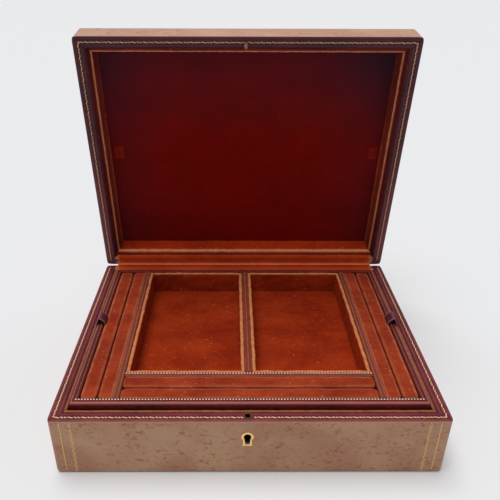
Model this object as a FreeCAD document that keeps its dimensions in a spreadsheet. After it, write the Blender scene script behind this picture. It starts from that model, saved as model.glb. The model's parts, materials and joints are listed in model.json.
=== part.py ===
import FreeCAD, Part
import os
import Sketcher

# A leather-covered jewellery case with a lift-out tray. The row stands on z = 0 with its
# origin at the middle of the bottom face: +X to the right, +Y to the hinge side, +Z up.
# The lid is drawn closed, about the hinge axis, and each lid piece's Placement turns it
# open by lid_angle. Millimetres throughout.

V = FreeCAD.Vector

DIMENSIONS = {
    # the closed case
    "case_width": 300,
    "case_depth": 239.5,
    "base_height": 53.8,
    "lid_height": 29,
    "lid_gap": 1.7,
    "lid_angle": 82,
    "corner_radius": 3,
    "edge_radius": 2.8,
    # the carcass and its skins
    "leather": 1,
    "rim_leather": 0.8,
    "board": 8.7,
    "floor_board": 4,
    "roof_board": 5,
    "lining": 2.5,
    "floor_pad": 2,
    "roof_pad": 4.5,
    "bottom_turn_in": 12,
    # the lid's lining, set back from the rim and thicker towards the roof
    "lid_rebate": 6.5,
    "rebate_velvet": 0.6,
    "lid_side_edge": 3.0,
    "lid_side_roof": 6.2,
    "lid_front_edge": 4.8,
    "lid_front_roof": 6.5,
    "lid_back_edge": 4.5,
    "lid_back_roof": 9,
    # the tray
    "tray_rise": 5.5,
    "tray_sink": 21,
    "tray_board": 2.5,
    "tray_wall": 6,
    "tray_side_gap": 1.8,
    "tray_front_gap": 1,
    "tray_back_gap": 6.3,
    "tray_edge_radius": 1.2,
    "rest_width": 6,
    "divider": 5.7,
    "side_bay": 25,
    "front_bay": 25,
    "centre_divider": 6,
    "well_lining": 2.5,
    "well_pad": 2,
    "well_drop": 0.6,
    "pad_side_gap": 1.8,
    "pad_drop": 2.2,
    "slit_width": 0.8,
    "slit_depth": 12,
    "roll_radius": 4.2,
    # the pull tabs: a strap folded over each side wall of the tray
    "tab_thickness": 1.2,
    "tab_width": 11,
    "tab_place": 3,
    "tab_leg": 8,
    "tab_clear": 0.2,
    "tab_rise": 13,
    "tab_pivot": 4,
    # the gusset over the hinges
    "gusset": 0.8,
    "gusset_half_width": 137.5,
    "gusset_front": 11.9,
    "gusset_back": 2.1,
    # the butt hinges
    "hinge_place": 85,
    "hinge_length": 36,
    "leaf_thickness": 1,
    "leaf_depth": 9,
    "knuckle_radius": 1.5,
    "knuckle_length": 11,
    "knuckle_gap": 0.15,
    "pin_radius": 0.7,
    "pin_clearance": 0.05,
    "leaf_recess_gap": 0.1,
    "leaf_strap_start": 0.3,
    # the wood screws
    "screw_head_radius": 1.5,
    "screw_radius": 0.8,
    "screw_length": 5,
    "screw_pitch": 12,
    "screw_row_shift": 0.4,
    "screw_head_play": 0.05,
    # the lock
    "lock_place": -2,
    "lock_width": 30,
    "lock_case_bottom": 22,
    "lock_case_top": 50.5,
    "lock_case_depth": 6.2,
    "lock_wall": 0.8,
    "lock_plate_width": 36,
    "lock_plate_bottom": 18,
    "lock_plate": 1,
    "lock_screw_inset": 1.9,
    "lock_screw_low": 24,
    "lock_screw_high": 46,
    "key_height": 38.2,
    "key_post_radius": 0.9,
    "key_post_length": 3.6,
    "staple_inset": 5.3,
    "staple_width": 2.4,
    "staple_half_depth": 1.7,
    "staple_leg": 0.8,
    "staple_drop": 10,
    "staple_eye_gap": 4.6,
    "staple_slot_gap": 0.1,
    "strike_length": 14,
    "strike_width": 6,
    "strike_plate": 1,
    "strike_screw_inset": 2.2,
    "ferrule_bore": 2.3,
    "ferrule_radius": 2.8,
    "ferrule_flange": 3.2,
    "ferrule_depth": 3.4,
    "ferrule_lip": 0.4,
    "bolt_thickness": 1.5,
    "bolt_height": 2.6,
    "bolt_top": 4.6,
    "bolt_length": 11.2,
    "bolt_retract": 1,
    "talon_width": 6,
    "talon_height": 5,
    "talon_notch_radius": 1.6,
    "spring_thickness": 0.4,
    "spring_gap": 0.1,
    "spring_start": 2,
    "spring_tail": 6,
    # the keyhole and its escutcheon
    "escutcheon_radius": 4.7,
    "escutcheon_plate": 0.6,
    "escutcheon_foot": 3.6,
    "escutcheon_waist": 3.1,
    "escutcheon_drop": 8.9,
    "keyhole_radius": 2.9,
    "keyhole_waist": 2.6,
    "keyhole_foot": 1.6,
    "keyhole_drop": 7.3,
}

doc = FreeCAD.newDocument("JewelleryCase")
sheet = doc.addObject("Spreadsheet::Sheet", "Dims")
for row, (alias, number) in enumerate(DIMENSIONS.items(), start=1):
    sheet.set(f"A{row}", alias)
    sheet.set(f"B{row}", str(number))
    sheet.setAlias(f"B{row}", alias)
doc.recompute()


def d(alias):
    """A cell of the sheet, as a name that an expression can use."""
    return f"Dims.{alias}"


def number(expression):
    """What an expression comes to now, in millimetres or degrees."""
    return float(sheet.evalExpression(expression))


def less(a, *rest):
    return "(" + " - ".join([a, *rest]) + ")"


def plus(*terms):
    return "(" + " + ".join(terms) + ")"


def neg(a):
    return f"(-1 * {a})"


def half(a):
    return f"({a} / 2)"


# ---------------------------------------------------------------- planes shared by the pieces
OUT_X = half(d("case_width"))
OUT_Y = half(d("case_depth"))
CORE_X = less(OUT_X, d("leather"))
CORE_Y = less(OUT_Y, d("leather"))
WALL_X = less(CORE_X, d("board"))
WALL_Y = less(CORE_Y, d("board"))
LINE_X = less(WALL_X, d("lining"))
LINE_Y = less(WALL_Y, d("lining"))
RIM = d("base_height")
UNDER_RIM = less(RIM, d("rim_leather"))
FLOOR = plus(d("leather"), d("floor_board"))
FLOOR_TOP = plus(FLOOR, d("floor_pad"))
HINGE_Z = plus(RIM, half(d("lid_gap")))

TRAY_X = less(LINE_X, d("tray_side_gap"))
TRAY_FRONT = neg(less(LINE_Y, d("tray_front_gap")))
TRAY_BACK = less(LINE_Y, d("tray_back_gap"))
TRAY_BOTTOM = less(RIM, d("tray_sink"))
TRAY_FLOOR = plus(TRAY_BOTTOM, d("tray_board"))
TRAY_TOP = plus(RIM, d("tray_rise"))
BAY_X = less(TRAY_X, d("tray_wall"))
BAY_FRONT = plus(TRAY_FRONT, d("tray_wall"))
BAY_BACK = less(TRAY_BACK, d("tray_wall"))
DIVIDER_X = less(BAY_X, d("side_bay"))
WELL_X = less(DIVIDER_X, d("divider"))
FRONT_DIVIDER = plus(BAY_FRONT, d("front_bay"))
WELL_FRONT = plus(FRONT_DIVIDER, d("divider"))

LEAF_RECESS = plus(d("leaf_thickness"), d("leaf_recess_gap"))
LEAF_REACH = plus(half(d("hinge_length")), d("leaf_recess_gap"))
LOCK_X = d("lock_place")
STAPLE_Y = neg(less(OUT_Y, d("staple_inset")))

# the lid's own planes: its y and z start at the hinge axis, with the lid closed
LID_RIM = half(d("lid_gap"))
LID_UNDER_RIM = plus(LID_RIM, d("rim_leather"))
LID_TOP = plus(LID_RIM, d("lid_height"))
LID_CORE_TOP = less(LID_TOP, d("leather"))
LID_BOARD = less(LID_CORE_TOP, d("roof_board"))
LID_ROOF = less(LID_BOARD, d("roof_pad"))
LID_EDGE = plus(LID_RIM, d("lid_rebate"))
LID_BACK = "0"
LID_FRONT = neg(d("case_depth"))
LID_CORE_BACK = neg(d("leather"))
LID_CORE_FRONT = plus(LID_FRONT, d("leather"))
LID_WALL_BACK = less(LID_CORE_BACK, d("board"))
LID_WALL_FRONT = plus(LID_CORE_FRONT, d("board"))

STRIKE_TOP = plus(LID_UNDER_RIM, d("strike_plate"))

LABELS = []


# ---------------------------------------------------------------- how a piece is drawn
def start_body(label, on_lid=False):
    """An empty body. One on the lid is placed on the hinge axis and turned open."""
    body = doc.addObject("PartDesign::Body", label)
    body.Label = label
    LABELS.append(label)
    if on_lid:
        turn_with_lid(body)
    return body


def turn_with_lid(piece):
    piece.Placement = FreeCAD.Placement(V(0, 0, 0), FreeCAD.Rotation(V(1, 0, 0), -10))
    piece.setExpression("Placement.Rotation.Angle", neg(d("lid_angle")))
    piece.setExpression("Placement.Base.y", OUT_Y)
    piece.setExpression("Placement.Base.z", HINGE_Z)


def sketch_on(body, role, across="0", up="0", out="0"):
    """A sketch on one of the body's origin planes, moved across, up and out of it."""
    plane = [f for f in body.Origin.OriginFeatures if f.Role == role][0]
    sketch = body.newObject("Sketcher::SketchObject", f"{body.Label}_sketch")
    sketch.AttachmentSupport = (plane, [""])
    sketch.MapMode = "FlatFace"
    for axis, expression in zip("xyz", (across, up, out)):
        sketch.setExpression(f"AttachmentOffset.Base.{axis}", expression)
    return sketch


def draw_outline(sketch, corners):
    """A closed outline through corners, each a pair of expressions measured from the origin."""
    places = [(number(a), number(b)) for a, b in corners]
    count = len(places)
    for i, (a, b) in enumerate(places):
        to = places[(i + 1) % count]
        sketch.addGeometry(Part.LineSegment(V(a, b, 0), V(*to, 0)), False)
    for i in range(count):
        sketch.addConstraint(Sketcher.Constraint("Coincident", i, 2, (i + 1) % count, 1))
    for i, (place, corner) in enumerate(zip(places, corners)):
        for kind, at, expression in zip(("DistanceX", "DistanceY"), place, corner):
            if abs(at) < 1e-9:
                axis = -2 if kind == "DistanceX" else -1
                sketch.addConstraint(Sketcher.Constraint("PointOnObject", i, 1, axis))
                continue
            held = sketch.addConstraint(Sketcher.Constraint(kind, -1, 1, i, 1, at))
            sketch.setExpression(f"Constraints[{held}]", expression)


def draw_circle(sketch, radius):
    ring = sketch.addGeometry(Part.Circle(V(0, 0, 0), V(0, 0, 1), number(radius)), False)
    sketch.addConstraint(Sketcher.Constraint("Coincident", ring, 3, -1, 1))
    held = sketch.addConstraint(Sketcher.Constraint("Radius", ring, number(radius)))
    sketch.setExpression(f"Constraints[{held}]", radius)


def extrude(body, sketch, length, kind="Pad"):
    """A pad along the sketch's normal, or a pocket that cuts along the same way."""
    before = body.Shape.Volume if kind == "Pocket" else 0
    feature = body.newObject(f"PartDesign::{kind}", f"{body.Label}_{kind.lower()}")
    feature.Profile = sketch
    feature.setExpression("Length", length)
    if kind == "Pocket":
        feature.Reversed = True
    doc.recompute()
    if kind == "Pocket" and not body.Shape.Volume < before - 1e-6:
        raise RuntimeError(f"a pocket in {body.Label} cut nothing")
    return feature


def corners_of_rectangle(width, height):
    return [("0", "0"), (width, "0"), (width, height), ("0", height)]


def add_block(body, x, y, z, kind="Pad"):
    """A rectangular pad or pocket between the low and high expressions on each axis."""
    sketch = sketch_on(body, "XY_Plane", x[0], y[0], z[0])
    draw_outline(sketch, corners_of_rectangle(less(x[1], x[0]), less(y[1], y[0])))
    return extrude(body, sketch, less(z[1], z[0]), kind)


def add_rod(body, role, radius, across, up, out, length, kind="Pad"):
    sketch = sketch_on(body, role, across, up, out)
    draw_circle(sketch, radius)
    return extrude(body, sketch, length, kind)


def block(label, x, y, z, on_lid=False):
    body = start_body(label, on_lid)
    add_block(body, x, y, z)
    return body


def span(half_width):
    return (neg(half_width), half_width)


def edges_that(shape, wanted):
    return [f"Edge{i + 1}" for i, edge in enumerate(shape.Edges) if wanted(edge)]


def upright(edge):
    box = edge.BoundBox
    return box.XLength < 1e-6 and box.YLength < 1e-6


def level_at(height):
    return lambda edge: edge.BoundBox.ZLength < 1e-6 and abs(edge.BoundBox.ZMin - height) < 1e-6


def round_edges(body, wanted, radius):
    """Rounds the edges of the body's last feature that wanted() picks."""
    base = body.Tip
    names = edges_that(base.Shape, wanted)
    if not names:
        raise RuntimeError(f"no edge to round on {body.Label}")
    fillet = body.newObject("PartDesign::Fillet", f"{body.Label}_fillet")
    fillet.Base = (base, names)
    fillet.setExpression("Radius", radius)
    doc.recompute()


def last_local(body):
    """The body's last feature: its shape is in the body's own frame."""
    return body.Tip.Shape


# ---------------------------------------------------------------- carcass
def make_cover(label, y, z, open_high, on_lid=False):
    """The leather skin: a box with rounded corners, shelled from its open side."""
    body = start_body(label, on_lid)
    add_block(body, span(OUT_X), y, z)
    round_edges(body, upright, d("corner_radius"))
    closed = number(z[0] if open_high else z[1])
    opened = number(z[1] if open_high else z[0])
    round_edges(body, level_at(closed), d("edge_radius"))
    base = body.Tip
    face = [
        f"Face{i + 1}"
        for i, f in enumerate(last_local(body).Faces)
        if f.BoundBox.ZLength < 1e-6 and abs(f.BoundBox.ZMin - opened) < 1e-6
    ]
    skin = body.newObject("PartDesign::Thickness", f"{label}_skin")
    skin.Base = (base, face)
    skin.setExpression("Value", d("leather"))
    skin.Reversed = True
    skin.Mode = 0
    skin.Join = 0
    doc.recompute()
    return body


def make_outer_board(label, x, y, z, wanted, on_lid=False):
    """A carcass board whose outer corners are rounded to fit inside the leather."""
    body = block(label, x, y, z, on_lid)
    round_edges(body, wanted, less(d("corner_radius"), d("leather")))
    return body


def outer_corners(sign):
    reach = number(CORE_X) * sign
    return lambda edge: upright(edge) and abs(edge.BoundBox.XMin - reach) < 1e-6


def make_rim(label, y, z, open_end, on_lid=False):
    """The rim strip round three sides, open along the hinge side."""
    body = start_body(label, on_lid)
    add_block(body, span(OUT_X), y, z)
    round_edges(body, upright, d("corner_radius"))
    inner = (plus(y[0], d("leather"), d("board")), open_end)
    add_block(body, span(WALL_X), inner, z, "Pocket")
    return body


def make_base_carcass():
    cover = make_cover("base_leather_cover", span(OUT_Y), ("0", UNDER_RIM), True)
    turn_in = d("bottom_turn_in")
    hole_x = less(OUT_X, turn_in)
    hole_y = less(OUT_Y, turn_in)
    add_block(cover, span(hole_x), span(hole_y), ("0", d("leather")), "Pocket")
    cut_keyhole(cover, neg(OUT_Y), neg(CORE_Y))
    notch_cover(cover, (CORE_Y, OUT_Y), (less(RIM, LEAF_RECESS), UNDER_RIM))
    block("base_bottom_cover", span(hole_x), span(hole_y), ("0", d("leather")))

    floor = block("base_floor_board", span(CORE_X), span(CORE_Y), (d("leather"), FLOOR))
    round_edges(floor, upright, less(d("corner_radius"), d("leather")))
    round_edges(floor, level_at(number(d("leather"))), less(d("edge_radius"), d("leather")))
    side_z = (FLOOR, UNDER_RIM)
    make_outer_board("base_left_board", (neg(CORE_X), neg(WALL_X)), span(CORE_Y), side_z, outer_corners(-1))
    make_outer_board("base_right_board", (WALL_X, CORE_X), span(CORE_Y), side_z, outer_corners(1))
    back = block("base_back_board", span(WALL_X), (WALL_Y, CORE_Y), (FLOOR, RIM))
    cut_leaf_recesses(back, CORE_Y, (less(RIM, LEAF_RECESS), RIM))
    make_front_board()

    rim = make_rim("base_rim_leather", span(OUT_Y), (UNDER_RIM, RIM), OUT_Y)
    add_rod(rim, "XY_Plane", d("ferrule_radius"), LOCK_X, STAPLE_Y, UNDER_RIM, d("rim_leather"), "Pocket")

    lining_z = (FLOOR, RIM)
    block("base_lining_front", span(WALL_X), (neg(WALL_Y), neg(LINE_Y)), lining_z)
    block("base_lining_back", span(WALL_X), (LINE_Y, WALL_Y), lining_z)
    block("base_lining_left", (neg(WALL_X), neg(LINE_X)), span(LINE_Y), lining_z)
    block("base_lining_right", (LINE_X, WALL_X), span(LINE_Y), lining_z)
    block("base_floor_pad", span(LINE_X), span(LINE_Y), (FLOOR, FLOOR_TOP))
    ledge = less(LINE_X, d("rest_width"))
    ledge_z = (FLOOR_TOP, TRAY_BOTTOM)
    block("tray_rest_left", (neg(LINE_X), neg(ledge)), span(LINE_Y), ledge_z)
    block("tray_rest_right", (ledge, LINE_X), span(LINE_Y), ledge_z)
    block("gusset_base_half", span(d("gusset_half_width")), GUSSET_Y, (RIM, plus(RIM, d("gusset"))))


GUSSET_Y = (less(OUT_Y, d("gusset_front")), less(OUT_Y, d("gusset_back")))


def make_lid_carcass():
    lid_y = (LID_FRONT, LID_BACK)
    core_y = (LID_CORE_FRONT, LID_CORE_BACK)
    cover = make_cover("lid_leather_cover", lid_y, (LID_UNDER_RIM, LID_TOP), False, True)
    notch_cover(cover, (LID_CORE_BACK, LID_BACK), (LID_UNDER_RIM, plus(LID_RIM, LEAF_RECESS)))
    top = block("lid_top_board", span(CORE_X), core_y, (LID_BOARD, LID_CORE_TOP), True)
    round_edges(top, upright, less(d("corner_radius"), d("leather")))
    round_edges(top, level_at(number(LID_CORE_TOP)), less(d("edge_radius"), d("leather")))
    side_z = (LID_UNDER_RIM, LID_BOARD)
    make_outer_board("lid_left_board", (neg(CORE_X), neg(WALL_X)), core_y, side_z, outer_corners(-1), True)
    make_outer_board("lid_right_board", (WALL_X, CORE_X), core_y, side_z, outer_corners(1), True)
    back = block("lid_back_board", span(WALL_X), (LID_WALL_BACK, LID_CORE_BACK), (LID_RIM, LID_BOARD), True)
    cut_leaf_recesses(back, LID_CORE_BACK, (LID_RIM, plus(LID_RIM, LEAF_RECESS)))
    front = block("lid_front_board", span(WALL_X), (LID_CORE_FRONT, LID_WALL_FRONT), side_z, True)
    half_plate = half(d("strike_width"))
    add_block(front, strike_x(), strike_y(half_plate), (LID_UNDER_RIM, STRIKE_TOP), "Pocket")
    rim = make_rim("lid_rim_leather", lid_y, (LID_RIM, LID_UNDER_RIM), LID_BACK, True)
    around = d("staple_slot_gap")
    slot_y = strike_y(plus(d("staple_half_depth"), around))
    add_block(rim, staple_x(around), slot_y, (LID_RIM, LID_UNDER_RIM), "Pocket")
    block("lid_roof_pad", span(WALL_X), (LID_WALL_FRONT, LID_WALL_BACK), (LID_ROOF, LID_BOARD), True)
    make_lid_linings()
    gusset_y = (neg(d("gusset_front")), neg(d("gusset_back")))
    gusset_z = (less(LID_RIM, d("gusset")), LID_RIM)
    block("gusset_lid_half", span(d("gusset_half_width")), gusset_y, gusset_z, True)


def lining_section(edge, roof):
    """Across and up from the wall's rim: a thin rebate, then a pad that thickens upwards."""
    rebate = less(LID_EDGE, LID_UNDER_RIM)
    top = less(LID_ROOF, LID_UNDER_RIM)
    thin = d("rebate_velvet")
    return [("0", "0"), (thin, "0"), (thin, rebate), (edge, rebate), (roof, top), ("0", top)]


def mirrored(outline):
    return [(neg(a) if a != "0" else "0", b) for a, b in outline]


def make_lid_linings():
    length = less(LID_WALL_BACK, LID_WALL_FRONT)
    side = lining_section(d("lid_side_edge"), d("lid_side_roof"))
    left = start_body("lid_lining_left", True)
    sketch = sketch_on(left, "XZ_Plane", neg(WALL_X), LID_UNDER_RIM, neg(LID_WALL_BACK))
    draw_outline(sketch, side)
    extrude(left, sketch, length)
    right = start_body("lid_lining_right", True)
    sketch = sketch_on(right, "XZ_Plane", WALL_X, LID_UNDER_RIM, neg(LID_WALL_BACK))
    draw_outline(sketch, mirrored(side))
    extrude(right, sketch, length)
    # the front and back linings run between the side linings' thickest part
    end = less(WALL_X, d("lid_side_roof"))
    width = plus(end, end)
    front = start_body("lid_lining_front", True)
    sketch = sketch_on(front, "YZ_Plane", LID_WALL_FRONT, LID_UNDER_RIM, neg(end))
    draw_outline(sketch, lining_section(d("lid_front_edge"), d("lid_front_roof")))
    extrude(front, sketch, width)
    back = start_body("lid_lining_back", True)
    sketch = sketch_on(back, "YZ_Plane", LID_WALL_BACK, LID_UNDER_RIM, neg(end))
    draw_outline(sketch, mirrored(lining_section(d("lid_back_edge"), d("lid_back_roof"))))
    extrude(back, sketch, width)


# ---------------------------------------------------------------- tray
def make_tray():
    tray_y = (TRAY_FRONT, TRAY_BACK)
    wall_z = (TRAY_FLOOR, TRAY_TOP)
    block("tray_bottom_board", span(TRAY_X), tray_y, (TRAY_BOTTOM, TRAY_FLOOR))
    make_tray_wall("tray_left_wall", (neg(TRAY_X), neg(BAY_X)), tray_y, wall_z)
    make_tray_wall("tray_right_wall", (BAY_X, TRAY_X), tray_y, wall_z)
    make_tray_wall("tray_front_wall", span(BAY_X), (TRAY_FRONT, BAY_FRONT), wall_z)
    make_tray_wall("tray_back_wall", span(BAY_X), (BAY_BACK, TRAY_BACK), wall_z)
    bay_y = (BAY_FRONT, BAY_BACK)
    block("tray_left_divider", (neg(DIVIDER_X), neg(WELL_X)), bay_y, wall_z)
    block("tray_right_divider", (WELL_X, DIVIDER_X), bay_y, wall_z)
    block("tray_front_divider", span(WELL_X), (FRONT_DIVIDER, WELL_FRONT), wall_z)
    centre = half(d("centre_divider"))
    block("tray_centre_divider", span(centre), (WELL_FRONT, BAY_BACK), wall_z)
    make_well_liner("left_well_liner", (neg(WELL_X), neg(centre)))
    make_well_liner("right_well_liner", (centre, WELL_X))
    pad_z = (TRAY_FLOOR, less(TRAY_TOP, d("pad_drop")))
    pad_x = less(BAY_X, d("pad_side_gap"))
    make_ring_pad("left_ring_pad", (neg(pad_x), neg(DIVIDER_X)), bay_y, pad_z, True)
    make_ring_pad("right_ring_pad", (DIVIDER_X, pad_x), bay_y, pad_z, True)
    make_ring_pad("front_ring_pad", span(WELL_X), (BAY_FRONT, FRONT_DIVIDER), pad_z, False)


def make_tray_wall(label, x, y, z):
    """A leather-wrapped wall: its outer top edge is softly rounded."""
    body = block(label, x, y, z)
    top = number(z[1])
    along_y = number(less(y[1], y[0])) > number(less(x[1], x[0]))
    ends = (number(x[0]), number(x[1])) if along_y else (number(y[0]), number(y[1]))
    outer = max(ends, key=abs)

    def outer_top(edge):
        box = edge.BoundBox
        low, high = (box.XMin, box.XMax) if along_y else (box.YMin, box.YMax)
        return level_at(top)(edge) and abs(low - outer) < 1e-6 and abs(high - outer) < 1e-6

    round_edges(body, outer_top, d("tray_edge_radius"))


def make_well_liner(label, x):
    """An open velvet box that drops in between the dividers."""
    rim = less(TRAY_TOP, d("well_drop"))
    y = (WELL_FRONT, BAY_BACK)
    body = block(label, x, y, (TRAY_FLOOR, rim))
    wall = d("well_lining")
    inner_x = (plus(x[0], wall), less(x[1], wall))
    inner_y = (plus(y[0], wall), less(y[1], wall))
    add_block(body, inner_x, inner_y, (plus(TRAY_FLOOR, d("well_pad")), rim), "Pocket")


def make_ring_pad(label, x, y, z, along_y):
    """A foam pad with two rounded rolls and a slit between them for rings."""
    body = block(label, x, y, z)
    slit = half(d("slit_width"))
    across = x if along_y else y
    middle = half(plus(*across))
    cut = (less(middle, slit), plus(middle, slit))
    cut_z = (less(z[1], d("slit_depth")), z[1])
    add_block(body, cut if along_y else x, y if along_y else cut, cut_z, "Pocket")
    round_edges(body, level_at(number(z[1])), d("roll_radius"))


def strap_middle_line(side):
    """The strap's middle: up outside the wall, folded at the crown, sloping down inside it."""
    half_thick = number(half(d("tab_thickness")))
    outer = number(plus(TRAY_X, d("tab_clear"))) + half_thick
    inner = number(less(BAY_X, d("tab_clear"))) - half_thick
    low = number(less(RIM, d("tab_leg")))
    top = number(TRAY_TOP)
    crown = number(plus(RIM, d("tab_rise")))
    # the fold leans inwards: these offsets from the wall's top and the crown shape its bow
    poles = [
        (outer, low),
        (outer, top - 3),
        (outer, top + 0.7),
        (outer - 1.7, crown - 2.8),
        (outer - 2.9, crown - 0.2),
        (outer - 5.0, crown - 1.4),
        (inner, top + 2.5),
        (inner, top - 3),
        (inner, low),
    ]
    curve = Part.BSplineCurve()
    curve.buildFromPoles([V(side * x, 0, z) for x, z in poles], False, 2)
    return curve


def strap_face(curve, distance, steps=40):
    """The middle line moved sideways by a distance, as one smooth edge."""
    first = curve.FirstParameter
    stride = (curve.LastParameter - first) / steps
    points = []
    for i in range(steps + 1):
        tangent = curve.tangent(first + i * stride)[0]
        sideways = V(-tangent.z, 0, tangent.x)
        points.append(curve.value(first + i * stride) + sideways * distance)
    face = Part.BSplineCurve()
    face.interpolate(points)
    return face


def make_pull_tab(label, side):
    """A leather strap bent over the tray's side wall, as one smooth band."""
    middle = strap_middle_line(side)
    half_thick = number(half(d("tab_thickness")))
    one = strap_face(middle, half_thick)
    other = strap_face(middle, -half_thick)
    edges = [
        one.toShape(),
        Part.LineSegment(one.EndPoint, other.EndPoint).toShape(),
        other.toShape(),
        Part.LineSegment(other.StartPoint, one.StartPoint).toShape(),
    ]
    outline = Part.Wire(Part.__sortEdges__(edges))
    width = number(d("tab_width"))
    strap = Part.Face(outline).extrude(V(0, width, 0))
    piece = doc.addObject("Part::Feature", label)
    piece.Label = label
    piece.Shape = strap
    piece.setExpression("Placement.Base.y", less(d("tab_place"), half(d("tab_width"))))
    LABELS.append(label)


# ---------------------------------------------------------------- hinges and screws
HINGES = ((-1, "left"), (1, "right"))


def hinge_middle(sign):
    return d("hinge_place") if sign > 0 else neg(d("hinge_place"))


def cut_leaf_recesses(board, back_face, z):
    front = less(back_face, d("leaf_depth"), neg(d("leather")), d("leaf_recess_gap"))
    cut_at_hinges(board, (front, back_face), z)


def notch_cover(cover, y, z):
    """The leather stops short of the leaves where they leave the board."""
    cut_at_hinges(cover, y, z)


def cut_at_hinges(body, y, z):
    for sign, _ in HINGES:
        middle = hinge_middle(sign)
        add_block(body, (less(middle, LEAF_REACH), plus(middle, LEAF_REACH)), y, z, "Pocket")


def make_leaf(label, sign, on_lid):
    """A hinge leaf: a plate let into the board and the knuckles that wrap the pin."""
    body = start_body(label, on_lid)
    axis_y = "0" if on_lid else OUT_Y
    axis_z = "0" if on_lid else HINGE_Z
    face = LID_RIM if on_lid else RIM
    thick = d("leaf_thickness")
    plate_z = (face, plus(face, thick)) if on_lid else (less(face, thick), face)
    middle = hinge_middle(sign)
    reach = half(d("hinge_length"))
    ends = (less(middle, reach), plus(middle, reach))
    plate_y = (less(axis_y, d("leaf_depth")), less(axis_y, d("knuckle_radius"), d("leaf_strap_start")))
    add_block(body, ends, plate_y, plate_z)
    outer = d("knuckle_length")
    inset = plus(outer, d("knuckle_gap"))
    if on_lid:
        knuckles = [(plus(ends[0], inset), less(ends[1], inset))]
    else:
        knuckles = [(ends[0], plus(ends[0], outer)), (less(ends[1], outer), ends[1])]
    for low, high in knuckles:
        add_rod(body, "YZ_Plane", d("knuckle_radius"), axis_y, axis_z, low, less(high, low))
        strap_y = (plate_y[1], axis_y)
        add_block(body, (low, high), strap_y, plate_z)
    bore = plus(d("pin_radius"), d("pin_clearance"))
    add_rod(body, "YZ_Plane", bore, axis_y, axis_z, ends[0], d("hinge_length"), "Pocket")
    for at in screw_places(middle):
        under = plate_z[0]
        add_rod(body, "XY_Plane", d("screw_head_radius"), at, screw_row(axis_y), under, thick, "Pocket")


def screw_places(middle):
    return [less(middle, d("screw_pitch")), middle, plus(middle, d("screw_pitch"))]


def screw_row(axis_y):
    return less(axis_y, half(plus(d("leaf_depth"), d("knuckle_radius"))), d("screw_row_shift"))


def make_screw(name, x, y, z, pitch_angle):
    """A wood screw whose head fills its hole in the plate; its shank runs on behind."""
    head = doc.addObject("Part::Cylinder", f"{name}_head")
    head.setExpression("Radius", less(d("screw_head_radius"), d("screw_head_play")))
    head.setExpression("Height", d("leaf_thickness"))
    shank = doc.addObject("Part::Cylinder", f"{name}_shank")
    shank.setExpression("Radius", d("screw_radius"))
    shank.setExpression("Height", d("screw_length"))
    screw = doc.addObject("Part::Fuse", name)
    screw.Base = head
    screw.Tool = shank
    screw.Placement = FreeCAD.Placement(V(0, 0, 0), FreeCAD.Rotation(V(1, 0, 0), pitch_angle))
    for axis, expression in zip("xyz", (x, y, z)):
        screw.setExpression(f"Placement.Base.{axis}", expression)
    return screw


def group_screws(label, screws, on_lid=False):
    group = doc.addObject("Part::Compound", label)
    group.Label = label
    group.Links = screws
    LABELS.append(label)
    if on_lid:
        turn_with_lid(group)


def make_hinges():
    base_screws = []
    lid_screws = []
    for sign, side in HINGES:
        make_leaf(f"{side}_hinge_base_leaf", sign, False)
        make_leaf(f"{side}_hinge_lid_leaf", sign, True)
        middle = hinge_middle(sign)
        for i, at in enumerate(screw_places(middle)):
            base_screws.append(make_screw(f"base_{side}_screw_{i}", at, screw_row(OUT_Y), RIM, 180))
            lid_screws.append(make_screw(f"lid_{side}_screw_{i}", at, screw_row("0"), LID_RIM, 0))
    pins = []
    for sign, side in HINGES:
        pin = doc.addObject("Part::Cylinder", f"{side}_pin")
        pin.setExpression("Radius", d("pin_radius"))
        pin.setExpression("Height", d("hinge_length"))
        pin.Placement = FreeCAD.Placement(V(0, 0, 0), FreeCAD.Rotation(V(0, 1, 0), 90))
        start = less(hinge_middle(sign), half(d("hinge_length")))
        for axis, expression in zip("xyz", (start, OUT_Y, HINGE_Z)):
            pin.setExpression(f"Placement.Base.{axis}", expression)
        pins.append(pin)
    group_screws("hinge_pins", pins)
    return base_screws, lid_screws


# ---------------------------------------------------------------- lock
PLATE_BACK = neg(WALL_Y)
CASE_BACK = less(PLATE_BACK, d("lock_plate"))
CASE_FRONT = less(CASE_BACK, d("lock_case_depth"))
CASE_X = (less(LOCK_X, half(d("lock_width"))), plus(LOCK_X, half(d("lock_width"))))
PLATE_X = (less(LOCK_X, half(d("lock_plate_width"))), plus(LOCK_X, half(d("lock_plate_width"))))
BOLT_TOP = less(RIM, d("bolt_top"))
BOLT_LOW = less(BOLT_TOP, d("bolt_height"))
BOLT_START = plus(LOCK_X, half(d("staple_width")), d("bolt_retract"))


def strike_x():
    return (less(LOCK_X, half(d("strike_length"))), plus(LOCK_X, half(d("strike_length"))))


def strike_y(half_plate):
    middle = plus(LID_FRONT, d("staple_inset"))
    return (less(middle, half_plate), plus(middle, half_plate))


def staple_x(around="0"):
    reach = plus(half(d("staple_width")), around)
    return (less(LOCK_X, reach), plus(LOCK_X, reach))


def keyhole_outline(waist, foot, drop):
    """A foot that widens from the waist down, hung from the middle of the round head."""
    return [(neg(waist), "0"), (waist, "0"), (foot, neg(drop)), (neg(foot), neg(drop))]


def cut_keyhole(body, y_low, y_high):
    depth = less(y_high, y_low)
    out = neg(y_high)
    add_rod(body, "XZ_Plane", d("keyhole_radius"), LOCK_X, d("key_height"), out, depth, "Pocket")
    sketch = sketch_on(body, "XZ_Plane", LOCK_X, d("key_height"), out)
    draw_outline(sketch, keyhole_outline(d("keyhole_waist"), d("keyhole_foot"), d("keyhole_drop")))
    extrude(body, sketch, depth, "Pocket")


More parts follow.
